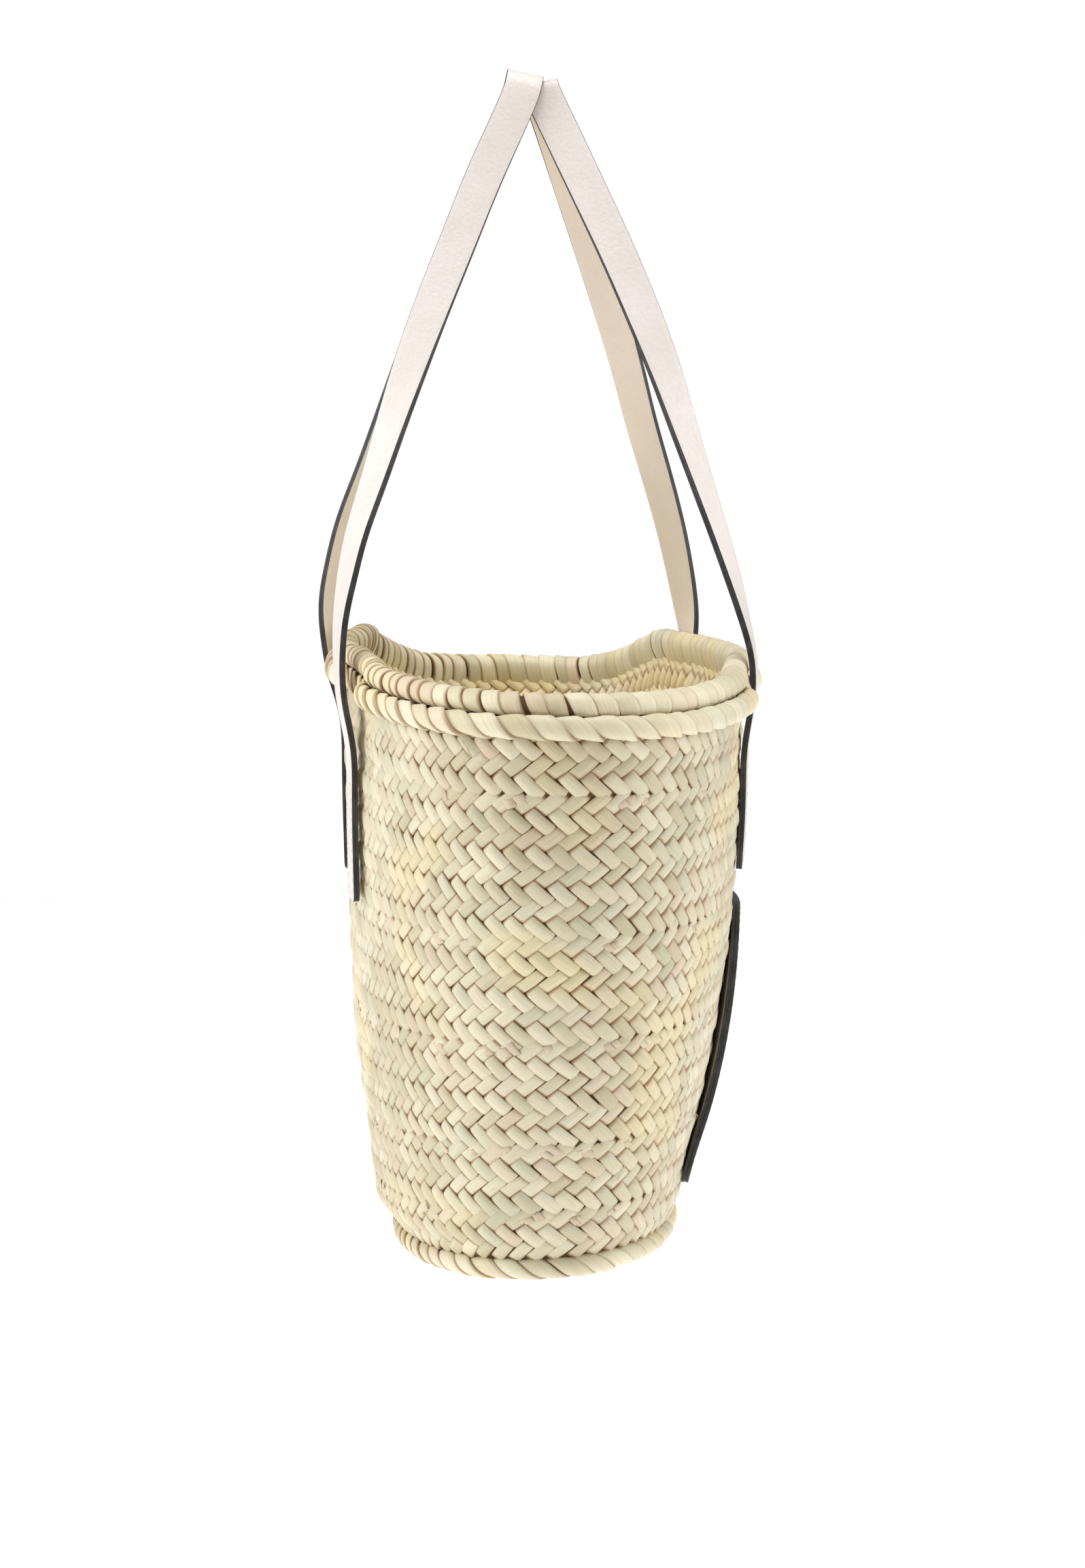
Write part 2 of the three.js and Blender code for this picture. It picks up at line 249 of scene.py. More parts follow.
def plan_at(rise):
    """Half length, front depth and back depth of the plan at a rise."""
    def between(foot, rim, column):
        return lerp(foot, rim, read_table(PROFILE, column, rise))
    half = between(FOOT_LENGTH / 2, RIM_LENGTH / 2, "length")
    front = between(FOOT_DEPTH / 2 + FOOT_FORWARD, RIM_DEPTH / 2 + RIM_FORWARD, "front")
    back = between(FOOT_DEPTH / 2 - FOOT_FORWARD, RIM_DEPTH / 2 - RIM_FORWARD, "back")
    return half, front, back


def plan_point(plan, angle):
    """Point of the plan outline at an angle, and its outward direction."""
    half, front, back = plan
    c, s = np.cos(angle), np.sin(angle)
    depth = np.where(s < 0, front, back)
    x = half * np.sign(c) * np.abs(c) ** (2 / PLAN_POWER)
    y = depth * np.sign(s) * np.abs(s) ** (2 / PLAN_POWER)
    nx = np.sign(x) * np.abs(x / half) ** (PLAN_POWER - 1) / half
    ny = np.sign(y) * np.abs(y / depth) ** (PLAN_POWER - 1) / depth
    return x, y, unit(np.stack([nx, ny, np.zeros_like(nx)], -1))


def angle_at(rise, x, side):
    """Angle of the plan where the outline passes a given X, on the front (-1) or back (1)."""
    half = plan_at(rise)[0]
    c = np.sign(x) * np.abs(x / half) ** (PLAN_POWER / 2)
    return side * np.arccos(np.clip(c, -1, 1))


def near_strap(x):
    """Full where a strap crosses the rim, and fading to nothing beside it."""
    from_edge = np.abs(np.abs(x) - HANDLE_SPREAD / 2) - STRAP_WIDTH / 2
    return 1 - smoothstep(from_edge, DENT_MARGIN, DENT_MARGIN + DENT_EASE)


def wall_point(angle, rise, out, inset=0.0):
    """Points near the wall: rise as a share of its height, out from its outer face. The inset
    makes the plan smaller all round, for the rows of the base."""
    angle, rise, out = np.broadcast_arrays(*(np.asarray(v, float) for v in (angle, rise, out)))
    half, front, back = plan_at(rise)
    x, y, normal = plan_point((half - inset, front - inset, back - inset * back / front), angle)
    dip = np.where(
        x < 0,
        NEAR_DIP * smoothstep(-x, NEAR_DIP_START, half),
        FAR_DIP * smoothstep(x, FAR_DIP_START, half),
    )
    top = RIM_LEVEL - dip + math.tan(RIM_LEAN) * y + math.tan(RIM_PITCH) * x
    bottom = FOOT_LEVEL - math.tan(FOOT_TILT) * y
    far_end = rise * smoothstep(x, -HANDLE_SPREAD / 2, SWING_REACH)
    tuck = np.where(y < 0, 1 - FAR_TUCK * far_end, 1)
    pull = STRAP_PULL * near_strap(x) * smoothstep(rise, 1 - PULL_HEIGHT / WALL_HEIGHT, 1)
    point = np.stack([x, y * tuck + CENTRE_Y + FAR_SWING * far_end, lerp(bottom, top, rise)], -1)
    return point + normal * (out - pull)[..., None]


def outward(angle, rise):
    return plan_point(plan_at(rise), angle)[2]


def round_plan(rise, inset=0.0, steps=1440):
    """Length of the plan outline at a rise, and a function from a share of it to an angle."""
    angle = np.linspace(0, 2 * math.pi, steps + 1)
    edge = wall_point(angle, rise, 0.0, inset)
    run = run_along(edge)

    def angle_of(share):
        whole = np.floor(share)
        return np.interp(share - whole, run / run[-1], angle) + whole * 2 * math.pi
    return run[-1], angle_of


# Meshes

def deselect():
    if bpy.context.mode != "OBJECT":
        bpy.ops.object.mode_set(mode="OBJECT")
    bpy.ops.object.select_all(action="DESELECT")


def piece_from(name, points, faces, material, attributes=None, smooth=True):
    """A mesh object from points and faces, with its place in its mesh."""
    mesh = bpy.data.meshes.new(name)
    mesh.from_pydata([tuple(p) for p in points.tolist()], [], faces)
    for key, values in (attributes or {}).items():
        layer = mesh.attributes.new(key, "FLOAT_VECTOR", "POINT")
        layer.data.foreach_set("vector", np.asarray(values, np.float32).reshape(-1))
    mesh.materials.append(material)
    mesh.polygons.foreach_set("use_smooth", [smooth] * len(mesh.polygons))
    mesh.update()
    obj = bpy.data.objects.new(name, mesh)
    bpy.context.collection.objects.link(obj)
    return obj


def grid_faces(rows, columns):
    """Quads of a grid of rows x columns points."""
    i, j = np.meshgrid(np.arange(rows - 1), np.arange(columns - 1), indexing="ij")
    a = (i * columns + j).ravel()
    return np.stack([a, a + 1, a + columns + 1, a + columns], -1)


def ring_faces(steps, sides):
    """Quads of a closed tube of steps x sides points that also closes on itself."""
    i, j = np.meshgrid(np.arange(steps), np.arange(sides), indexing="ij")
    here, ahead = i * sides, (i + 1) % steps * sides
    beside = (j + 1) % sides
    return np.stack([here + j, ahead + j, ahead + beside, here + beside], -1).reshape(-1, 4).tolist()


def grid_border(rows, columns):
    """The border of a grid of points, all the way round."""
    first = [j for j in range(columns)]
    right = [i * columns + columns - 1 for i in range(1, rows)]
    last = [(rows - 1) * columns + j for j in range(columns - 2, -1, -1)]
    left = [i * columns for i in range(rows - 2, 0, -1)]
    return first + right + last + left


def repeat_faces(template, count, stride):
    """The same faces for each of many copies of a group of points."""
    out = []
    for k in range(count):
        base = k * stride
        out.extend([[base + v for v in face] for face in template])
    return out


def outward_faces(points, template, reference, probe=0):
    """The template's faces, flipped where the probe face's normal points away from reference."""
    a, b, c = (points[v] for v in template[probe][:3])
    flip = np.dot(np.cross(b - a, c - a), reference) < 0
    return [face[::-1] for face in template] if flip else template


def pads(name, grid, out_direction, material, attributes):
    """Many closed pads. grid has (count, rows, columns, 3) points: each pad's border lies low
    and is closed below by one face."""
    count, rows, columns, _ = grid.shape
    template = [list(face) for face in grid_faces(rows, columns)]
    template.append(grid_border(rows, columns)[::-1])
    points = grid.reshape(count, rows * columns, 3)
    template = outward_faces(points[0], template, out_direction)
    faces = repeat_faces(template, count, rows * columns)
    return piece_from(name, points.reshape(-1, 3), faces, material, attributes)


def shells(name, top, under, reference, material, attributes, probe=0):
    """Many closed shells from two grids, (count, rows, columns, 3), that share their borders'
    places. The under grid is bridged to the top one all round. The probe is the number of the
    face whose normal is held against the reference."""
    count, rows, columns, _ = top.shape
    size = rows * columns
    upper = [list(face) for face in grid_faces(rows, columns)]
    lower = [[v + size for v in face[::-1]] for face in upper]
    ring = grid_border(rows, columns)
    bridge = []
    for k, v in enumerate(ring):
        w = ring[(k + 1) % len(ring)]
        bridge.append([w, v, v + size, w + size])
    points = np.concatenate([top.reshape(count, size, 3), under.reshape(count, size, 3)], 1)
    template = outward_faces(points[0], upper + lower + bridge, reference, probe)
    doubled = {key: np.concatenate([v, v], 1).reshape(-1, 3) for key, v in attributes.items()}
    faces = repeat_faces(template, count, 2 * size)
    return piece_from(name, points.reshape(-1, 3), faces, material, doubled)


def settle(piece, slot, *nodes):
    """Every finished piece rides on the bag and may stand for CAD nodes, which are hidden; the slot is not
    used.
    """
    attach(piece, "root")
    if nodes:
        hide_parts(*nodes)


# Materials

class Value:
    """A shader socket that takes part in sums as a number does."""

    def __init__(self, finish, socket):
        self.finish = finish
        self.socket = socket

    def _sum(self, operation, first, second):
        return self.finish.node("Math", dict(operation=operation), {0: first, 1: second})

    def __add__(self, other):
        return self._sum("ADD", self, other)

    __radd__ = __add__

    def __mul__(self, other):
        return self._sum("MULTIPLY", self, other)

    __rmul__ = __mul__

    def __sub__(self, other):
        return self._sum("SUBTRACT", self, other)

    def __rsub__(self, other):
        return self._sum("SUBTRACT", other, self)


class Finish:
    """A material in the making. node() adds any node and gives its first output, or a named one."""

    def __init__(self, name, roughness, specular):
        self.material = bpy.data.materials.new(name)
        self.material.use_nodes = True
        self.tree = self.material.node_tree
        self.surface = self.tree.nodes["Principled BSDF"]
        self.surface.inputs["Roughness"].default_value = roughness
        self.surface.inputs["Specular IOR Level"].default_value = specular

    def node(self, kind, settings=None, sockets=None, output=0):
        made = self.tree.nodes.new("ShaderNode" + kind)
        for key, value in (settings or {}).items():
            setattr(made, key, value)
        for key, value in (sockets or {}).items():
            if isinstance(value, Value):
                self.tree.links.new(value.socket, made.inputs[key])
            else:
                made.inputs[key].default_value = value
        return Value(self, made.outputs[output])

    def feed(self, socket, value):
        self.tree.links.new(value.socket, self.surface.inputs[socket])

    def mix(self, share, a, b):
        """Mix of two colours. A plain colour is a tuple."""
        a, b = (v if isinstance(v, Value) else (*v, 1.0) for v in (a, b))
        return self.node("Mix", dict(data_type="RGBA"), {0: share, 6: a, 7: b}, 2)

    def shade(self, colour, amount):
        """A colour times a number."""
        grey = self.node("CombineColor", None, {0: amount, 1: amount, 2: amount})
        settings = dict(data_type="RGBA", blend_type="MULTIPLY")
        return self.node("Mix", settings, {0: 1.0, 6: colour, 7: grey}, 2)

    def span(self, value, low, high, to_low=0.0, to_high=1.0):
        """A number carried from one range to another, smoothly and held at the ends."""
        settings = dict(interpolation_type="SMOOTHSTEP")
        return self.node("MapRange", settings, {0: value, 1: low, 2: high, 3: to_low, 4: to_high})

    def noise(self, vector, scale, detail=2.0, roughness=0.5, output=0):
        sockets = {"Vector": vector, "Scale": scale, "Detail": detail, "Roughness": roughness}
        return self.node("TexNoise", None, sockets, output)

    def cells(self, vector, scale, feature="F1", output=0):
        return self.node("TexVoronoi", dict(feature=feature), {"Vector": vector, "Scale": scale}, output)

    def stretched(self, vector, factors):
        return self.node("VectorMath", dict(operation="MULTIPLY"), {0: vector, 1: factors})

    def place(self):
        """The piece's own coordinates, in metres."""
        return self.node("TexCoord", output=3)

    def attribute(self, name):
        return self.node("Attribute", dict(attribute_name=name), output=1)

    def part(self, vector, axis):
        return self.node("SeparateXYZ", None, {0: vector}, axis)

    def bump(self, height, strength, distance):
        return self.node("Bump", None, {"Height": height, "Strength": strength, "Distance": distance})


def palm_finish(name, colours, tone_shift=0.0, gain=0.925, sun=0.62):
    """Dry palm leaf. Each leaf has its own tone; fine fibres run along it, its edges are brown, and the
    same brown is painted shade where a strand's end goes under a neighbour. Attribute leaf holds
    (tone, tint, edge), edge carrying both, and strand holds millimetres (along, across, seed)."""
    palm = Finish(name, 0.62, 0.5)
    leaf = palm.attribute("leaf")
    strand = palm.attribute("strand")
    tone = palm.part(leaf, 0) + tone_shift
    tint = palm.part(leaf, 1)
    edge = palm.part(leaf, 2)
    place = palm.place()

    patch = palm.noise(place, 9.0, 1.5)
    blush = palm.span(tint + (patch - 0.5) * 0.7, 0.62, 0.95)
    moss = palm.span((1.0 - tint) + (patch - 0.5) * 0.7, 0.60, 0.98)
    colour = palm.mix(palm.span(tone, 0.05, 0.95), colours.straw, colours.pale)
    colour = palm.mix(moss * 0.45, colour, colours.green)
    colour = palm.mix(blush * 0.6, colour, colours.pink)
    sunny = palm.noise(place, 14.0, 1.0)
    lit = palm.span(sunny, 0.76 - 0.4 * sun, 0.92 - 0.4 * sun) * sun
    colour = palm.mix(lit, colour, colours.gold)

    fibres = palm.noise(palm.stretched(strand, (0.10, 2.6, 7.0)), 1.0, 3.0, 0.6)
    ribs = palm.noise(palm.stretched(strand, (0.05, 0.8, 5.0)), 1.0, 1.0)
    # gain scales the whole leaf colour; the inside copy's high gain is painted light
    colour = palm.shade(colour, (0.84 + fibres * 0.26 + (ribs - 0.5) * 0.20) * gain)
    specks = palm.cells(palm.stretched(strand, (0.55, 0.9, 3.0)), 1.0)
    dotted = palm.span(specks, 0.10, 0.17, 1.0, 0.0) * palm.span(patch, 0.46, 0.56)
    colour = palm.mix(dotted * 0.5, colour, colours.speck)
    # The edge brown is the leaf's browned edges and also painted shade at the tucked ends
    colour = palm.mix(palm.span(edge, 0.30, 0.95) * 0.82, colour, colours.brown)
    palm.feed("Base Color", colour)
    palm.feed("Roughness", 0.58 - fibres * 0.24)
    raised = palm.bump(fibres + ribs * 1.5, 0.35, 0.0004)
    palm.feed("Normal", raised)
    return palm.material


def shadow_finish(name, colours):
    """Painted shade: the leaf layers under the visible ones, seen only in the gaps, coloured near black to
    stand for the shade there.
    """
    deep = Finish(name, 0.9, 0.1)
    patch = deep.noise(deep.place(), 90.0, 2.0)
    deep.feed("Base Color", deep.mix(patch, colours.gap, colours.gap_light))
    return deep.material


def leather_finish(name, light, shade, grain, depth, roughness):
    """Pebbled leather: round cells of slightly uneven size with soft creases between them."""
    hide = Finish(name, roughness, 0.45)
    place = hide.place()
    drift = hide.noise(place, 22.0, 3.0)
    warp = hide.stretched(hide.noise(place, 260.0, 1.0, output=1), (0.0005, 0.0005, 0.0005))
    warped = hide.node("VectorMath", dict(operation="ADD"), {0: place, 1: warp})
    cell = hide.cells(warped, 1 / grain, "SMOOTH_F1")
    fine = hide.noise(place, 1400.0, 2.0)
    pebble = 1.0 - hide.span(cell, 0.15, 0.75)
    colour = hide.mix(hide.span(drift, 0.3, 0.7), light, shade)
    # Painted shade: the colour is 5% darker in the creases between the pebbles than on their tops
    colour = hide.shade(colour, 0.95 + pebble * 0.05)
    hide.feed("Base Color", colour)
    hide.feed("Roughness", roughness + 0.10 - pebble * 0.14)
    hide.feed("Normal", hide.bump(pebble + fine * 0.1, 0.3, depth))
    return hide.material


def edge_finish(name, colours):
    """Painted strap edge: black, slightly ridged and satin."""
    paint = Finish(name, 0.5, 0.4)
    place = paint.place()
    wear = paint.noise(place, 120.0, 3.0)
    paint.feed("Base Color", paint.mix(paint.span(wear, 0.35, 0.75), colours.edge, colours.edge_worn))
    paint.feed("Roughness", 0.42 + wear * 0.2)
    paint.feed("Normal", paint.bump(paint.noise(place, 700.0, 2.0), 0.4, 0.0002))
    return paint.material


def thread_finish(name, colours):
    thread = Finish(name, 0.6, 0.4)
    place = thread.place()
    twist = thread.noise(place, 1800.0, 1.0)
    waxed = thread.mix(0.5, colours.cream, colours.pale)
    thread.feed("Base Color", thread.shade(waxed, 0.85 + twist * 0.15))
    thread.feed("Normal", thread.bump(twist, 0.5, 0.0001))
    return thread.material


def floor_finish(colour, glow):
    floor = Finish("studio_floor", 0.85, 0.1)
    floor.surface.inputs["Emission Color"].default_value = (*colour, 1)
    floor.surface.inputs["Emission Strength"].default_value = glow
    grain = floor.noise(floor.place(), 3.0, 3.0)
    floor.feed("Base Color", floor.mix(grain, colour, tuple(0.985 * c for c in colour)))
    return floor.material


def finish_named(name, maker, *colours, **looks):
    """The material of that name, made on first use."""
    return bpy.data.materials.get(name) or maker(name, *colours, **looks)


def leather_finishes(leather, palette):
    """Cream face, tan lining, edge paint and thread, shared by the straps and the patch."""
    return (
        finish_named("leather_outside", leather_finish, palette.cream, palette.cream_shade,
                     grain=leather.grain, depth=0.0003, roughness=0.40),
        finish_named("leather_lining", leather_finish, palette.tan, palette.tan_shade,
                     grain=leather.grain * 0.5, depth=0.0001, roughness=0.6),
        finish_named("edge_paint", edge_finish, palette),
        finish_named("waxed_thread", thread_finish, palette),
    )


# User settings

def length(name, description, default):
    return bpy.props.FloatProperty(
        name=name, description=description, default=default, min=0.0,
        subtype="DISTANCE", unit="LENGTH", precision=5)


def share(name, description, default):
    return bpy.props.FloatProperty(name=name, description=description, default=default, min=0.0, max=2.0)


def power(name, description, default):
    return bpy.props.FloatProperty(
        name=name, description=description, default=default, min=0.0, unit="POWER")


def colour(name, description, default):
    return bpy.props.FloatVectorProperty(
        name=name, description=description, default=default, size=3, subtype="COLOR", min=0.0, max=1.0)


class BAG_PG_palette(bpy.types.PropertyGroup):
    """Colours of the bag, scene linear."""
    straw: colour("Straw", "Common tone of the palm leaf", (0.57, 0.495, 0.32))
    pale: colour("Pale straw", "Lightest tone of the palm leaf", (0.75, 0.685, 0.50))
    green: colour("Green straw", "Leaf that dried greenish", (0.53, 0.53, 0.37))
    pink: colour("Blush", "Leaf that dried pinkish", (0.67, 0.52, 0.38))
    gold: colour("Gold", "Sunny yellow patches", (0.80, 0.67, 0.38))
    # Painted shade: the leaf-edge brown also darkens strands towards the ends that go under a neighbour
    brown: colour("Leaf edge", "Browned edge of a leaf", (0.34, 0.19, 0.08))
    speck: colour("Speckle", "Small brown specks", (0.34, 0.21, 0.12))
    # Painted shade: near-black leaf colours for the layers seen in the gaps between strands
    gap: colour("Gap", "Shadowed leaf between the strands", (0.09, 0.06, 0.028))
    gap_light: colour("Gap, lighter", "Less shadowed leaf between the strands", (0.16, 0.11, 0.055))
    cream: colour("Cream leather", "Outer face of straps and patch", (0.76, 0.697, 0.65))
    cream_shade: colour("Cream leather, darker", "Uneven tone of the leather", (0.715, 0.65, 0.60))
    tan: colour("Tan lining", "Inner face of the straps", (0.83, 0.73, 0.62))
    tan_shade: colour("Tan lining, darker", "Uneven tone of the lining", (0.78, 0.675, 0.56))
    edge: colour("Edge paint", "Painted edges of straps and patch", (0.018, 0.018, 0.019))
    edge_worn: colour("Edge paint, worn", "Rubbed edge paint", (0.050, 0.048, 0.047))


class BAG_PG_weave(bpy.types.PropertyGroup):
    """Sizes of the plait."""
    rows: bpy.props.IntProperty(name="Rows", description="Rows of strands up the wall", default=31, min=6)
    pitch: length("Strand pitch", "Distance between strands along a row", 0.0112)
    arch: length("Arch", "How much a strand bulges across its width", 0.0013)
    dive: length("Dive", "How far a strand's ends go under its neighbours", 0.0009)
    lift: length("Edge lift", "Height of a strand's long edges above the wall's face", 0.00045)
    reach: share("Length share", "Length of a strand against its cell", 1.22)
    tongue: share("Tongue", "Length of a falling strand's lower half against its cell", 1.16)
    fullness: share("Width share", "Width of a strand against its cell", 1.02)
    unevenness: share("Unevenness", "How much strands differ from each other", 1.0)
    base_row: length("Base row", "Width of one row of the base", 0.0085)


class BAG_PG_edging(bpy.types.PropertyGroup):
    """Sizes of the wrapped rim, the collar and the foot."""
    wrap_pitch: length("Rim wrap pitch", "Width of one leaf wrapped round the rim", 0.0110)
    wrap_slant: length("Rim wrap slant", "How far a wrap travels over half a turn", 0.0055)
    collar_pitch: length("Collar pitch", "Spacing of the collar's leaves", 0.0138)
    collar_slant: length("Collar slant", "How far a collar leaf travels over half a turn", 0.0150)
    coil_pitch: length("Foot pitch", "Spacing of the foot coil's leaves", 0.0145)
    coil_slant: length("Foot slant", "How far a foot leaf travels over half a turn", 0.0180)


class BAG_PG_leather(bpy.types.PropertyGroup):
    """Sizes of the leather."""
    grain: length("Pebble size", "Size of the grain's pebbles", 0.0017)
    edge_round: length("Edge rounding", "Rounding of the straps' long edges", 0.0003)
    strap_corner: length("Strap corner", "Rounding of the straps' lower corners", 0.0045)
    patch_corner: length("Patch corner", "Rounding of the patch's corners", 0.0100)
    stitch: length("Stitch", "Length of one stitch", 0.0034)
    stitch_inset: length("Stitch inset", "Distance from a stitch row to the edge", 0.0026)


class BAG_PG_stage(bpy.types.PropertyGroup):
    """Floor and light."""
    floor_drop: length("Floor drop", "Height of the bag's foot above the floor", 0.40)
    floor_radius: length("Floor radius", "Radius of the floor disc", 6.0)
    floor_colour: colour("Floor", "Colour of the floor", (0.80, 0.80, 0.80))
    surround: share("Surround", "Strength of the light from all round", 0.42)
    left: power("Left", "Soft light at the left", 44.0)
    right: power("Right", "Soft light at the right", 30.0)
    top: power("Top", "Soft light from above", 24.0)
    floor_glow: share("Floor glow", "Light that the pale floor gives off by itself", 0.80)


def settings(kind):
    return getattr(bpy.context.scene, "bag_" + kind)


# Weave

# Places of a strand's points along and across it, from one border (-1) to the other (1)
FALLING_ALONG = np.array([-1, -0.93, -0.84, -0.70, -0.42, -0.08, 0.30, 0.60, 0.80, 1])
RISING_ALONG = np.array([-1, -0.80, -0.66, -0.44, -0.15, 0.15, 0.44, 0.66, 0.80, 1])
STRAND_ACROSS = np.array([-1, -0.95, -0.80, -0.42, 0.0, 0.42, 0.80, 0.95, 1])
INNER_ALONG = np.array([-1, -0.78, -0.45, 0.45, 0.78, 1])
INNER_ACROSS = np.array([-1, -0.90, 0.0, 0.90, 1])

# Half a strand in millimetres, for the fibres in its finish
HALF_STRAND_LONG = 8.0
HALF_STRAND_WIDE = 3.6

# A point past BORDER is on the border of its strand, which lies at STRAND_ROOT, in metres
BORDER = 0.99
STRAND_ROOT = -0.0012

# Where a strand begins to narrow, to dive and to roll down, and what a strand by a seam gains
TONGUE_START = 0.80
TUCK_START = 0.50
ROLL_START = 0.45
SEAM_REACH = 0.20
SEAM_WIDTH = 0.08

# Waves of tone and tint through the leaves, in radians per metre
TONE_WAVE = np.array([31.0, 17.0, 23.0])
CROSS_WAVE = np.array([-13.0, 41.0, -19.0])
TINT_WAVE = np.array([-47.0, 11.0, 29.0])

# Seeds of the random draws of each piece
SEEDS = dict(
    weave_outer_lower=11, weave_outer_upper=12, weave_inner=13, weave_outer_middle=14,
    base_weave_below=21, base_weave_inside=22,
    rim_wraps=31, collar_leaves=32, foot_leaves=33,
    seam_stubs=41, loose_fibres=42,
)


def rounded_end(u, start, fullness):
    """Width of a strand near an end that is rounded like a tongue, from a full width of 1."""
    past = np.clip((np.abs(u) - start) / (1 - start), 0, 1)
    return fullness + (1 - fullness) * np.sqrt(np.maximum(1 - past**2, 0))


def strand_grid(rng, count, falling, along, across, weave, by_seam=False):
    """Shapes of the strands of one row, in lattice units (p along the row in pitches, q up in
    rows), with their height above the wall's face in metres. Falling strands, which lean like a
    backslash, are steeper and end in a tongue that lies on the row below. Both ends of a rising
    strand, and the upper end of a falling one, go under their neighbours. Strands by a seam
    between bands are larger and cover it."""
    u, v = np.meshgrid(along, across, indexing="ij")
    u, v = u[None], v[None]

    def vary(amount):
        return (rng.uniform(-amount, amount, count) * weave.unevenness)[:, None, None]
    tongue = (u < 0) if falling else np.zeros_like(u, bool)
    reach = np.where(tongue, weave.tongue + (SEAM_REACH if by_seam else 0), weave.reach) + vary(0.04)
    wide = weave.fullness + (SEAM_WIDTH if falling or by_seam else 0.0) + vary(0.07)
    width = wide * (1 + vary(0.05) * u)
    tip = rounded_end(u, TONGUE_START, 0.62 + vary(0.14))
    width = width * np.where(tongue, tip, 1 - 0.16 * np.abs(u) ** 4)
    bend = vary(0.10) + (0.10 if falling else 0.03)
    across_shape = v * width + bend * (u**2 - 0.35)
    along_shape = u * reach * (1 - np.where(tongue, 0.05, 0.0) * v**2)
    p = 0.5 * along_shape - 0.25 * across_shape
    q = 0.5 * along_shape + 0.25 * across_shape
    turn = vary(0.06)
    p, q = p - turn * q + vary(0.035), q + turn * p + vary(0.03)
    if falling:
        p, q = -p * 0.95, q * 1.05
    else:
        q = q * 0.95

    joint = np.abs(u) * reach
    tucked = np.sqrt(1 - np.clip((joint - TUCK_START) / (1 - TUCK_START), 0, 1) ** 2)
    rolled = 1 - 0.62 * np.clip((joint - ROLL_START) / (weave.tongue - ROLL_START), 0, 1) ** 2.2
    end = np.where(tongue, rolled, tucked)
    crown = 1 - np.abs(v) ** 2.6
    crease = np.exp(-((v - vary(0.5)) / 0.22) ** 2) * (0.00010 + vary(0.00018))
    arch = weave.arch * (1 + vary(0.22)) * (1.12 if falling else 0.90)
    lift = weave.lift + (0.00015 if falling else -0.0001)
    height = lift * (0.2 + 0.8 * end) + arch * crown * end - crease * end
    height = height + (vary(0.00020) + vary(0.00022) * u) * v
    height = height - weave.dive * np.where(tongue, 0, np.clip(joint - 0.96, 0, 1) / 0.2)
    root = (np.abs(v) > BORDER) | (np.abs(u) > BORDER)
    height = np.where(root, STRAND_ROOT, height)
    edge = np.where(root, 1.0, np.where(np.abs(v) > 0.9, 0.60 + vary(0.16), 0.0))
    # Painted shade: the edge value rises towards each end that goes under a neighbour, browning it where the
    # neighbour shades it
    under = smoothstep(joint, 0.62, 1.02) * np.where(tongue, 0.0, 0.9)
    edge = np.maximum(edge, under)
    return p, q, height, edge + 0 * p, u + 0 * p, v + 0 * p


def strand_attributes(rng, edge, u, v, tones, tints):
    """Colour and fibre attributes of many strands."""
    count = len(tones)
    shape = u.shape
    leaf = np.stack([
        np.broadcast_to(tones[:, None, None], shape),
        np.broadcast_to(tints[:, None, None], shape),
        edge,
    ], -1)
    seed = rng.uniform(0, 50, count)[:, None, None]
    strand = np.stack([
        u * HALF_STRAND_LONG + seed,
        v * HALF_STRAND_WIDE + seed * 1.7,
        np.broadcast_to(seed, shape),
    ], -1)
    return dict(leaf=leaf.reshape(-1, 3), strand=strand.reshape(-1, 3))


def leaf_tones(rng, places):
    """Tone and tint of each strand: neighbours are alike, because they come from one leaf."""
    wave = np.sin(places @ TONE_WAVE) + np.sin(places @ CROSS_WAVE + 1.3)
    tones = np.clip(0.5 + 0.16 * wave + rng.normal(0, 0.24, len(places)), 0, 1)
    drift = np.sin(places @ TINT_WAVE + 0.7)
    tints = np.clip(0.5 + 0.16 * drift + rng.normal(0, 0.20, len(places)), 0, 1)
    return tones, tints


# Shift of a band's strands against the one below, the rows where the bands begin, and where the
# outer weave is split into pieces, as shares of its rows
BAND_PHASE = 0.37
BAND_MARKS = (0, 3, 7, 13, 19, 27, 31)
OUTER_SPLITS = (0.36, 0.69)


def band_marks(weave):
    """The rows where the plait's bands begin, sewn edge to edge, from the foot up."""
    return [round(mark * weave.rows / BAND_MARKS[-1]) for mark in BAND_MARKS]


def band_swell(row):
    """How far a band bulges at a place between rows, full in its middle."""
    marks = np.array(BAND_MARKS, float)
    i = np.clip(np.searchsorted(marks, row, side="right") - 1, 0, len(marks) - 2)
    share = np.clip((row - marks[i]) / (marks[i + 1] - marks[i]), 0, 1)
    return 0.6 + 0.4 * np.sqrt(np.sin(math.pi * share))


def wall_bands(weave):
    """The plait's bands: first row, row after the last, strands per row and the outline."""
    marks = band_marks(weave)
    for low, high in zip(marks[:-1], marks[1:]):
        run, angle_of = round_plan((low + high) / 2 / weave.rows)
        yield low, high, round(run / weave.pitch), angle_of


def woven(name, made, facing, material):
    """One piece from many made strands: grids of points, each with its attributes."""
    grid = np.concatenate([points for points, _ in made])
    attributes = {key: np.concatenate([looks[key] for _, looks in made]) for key in ("leaf", "strand")}
    return pads(name, grid, facing, material, attributes)


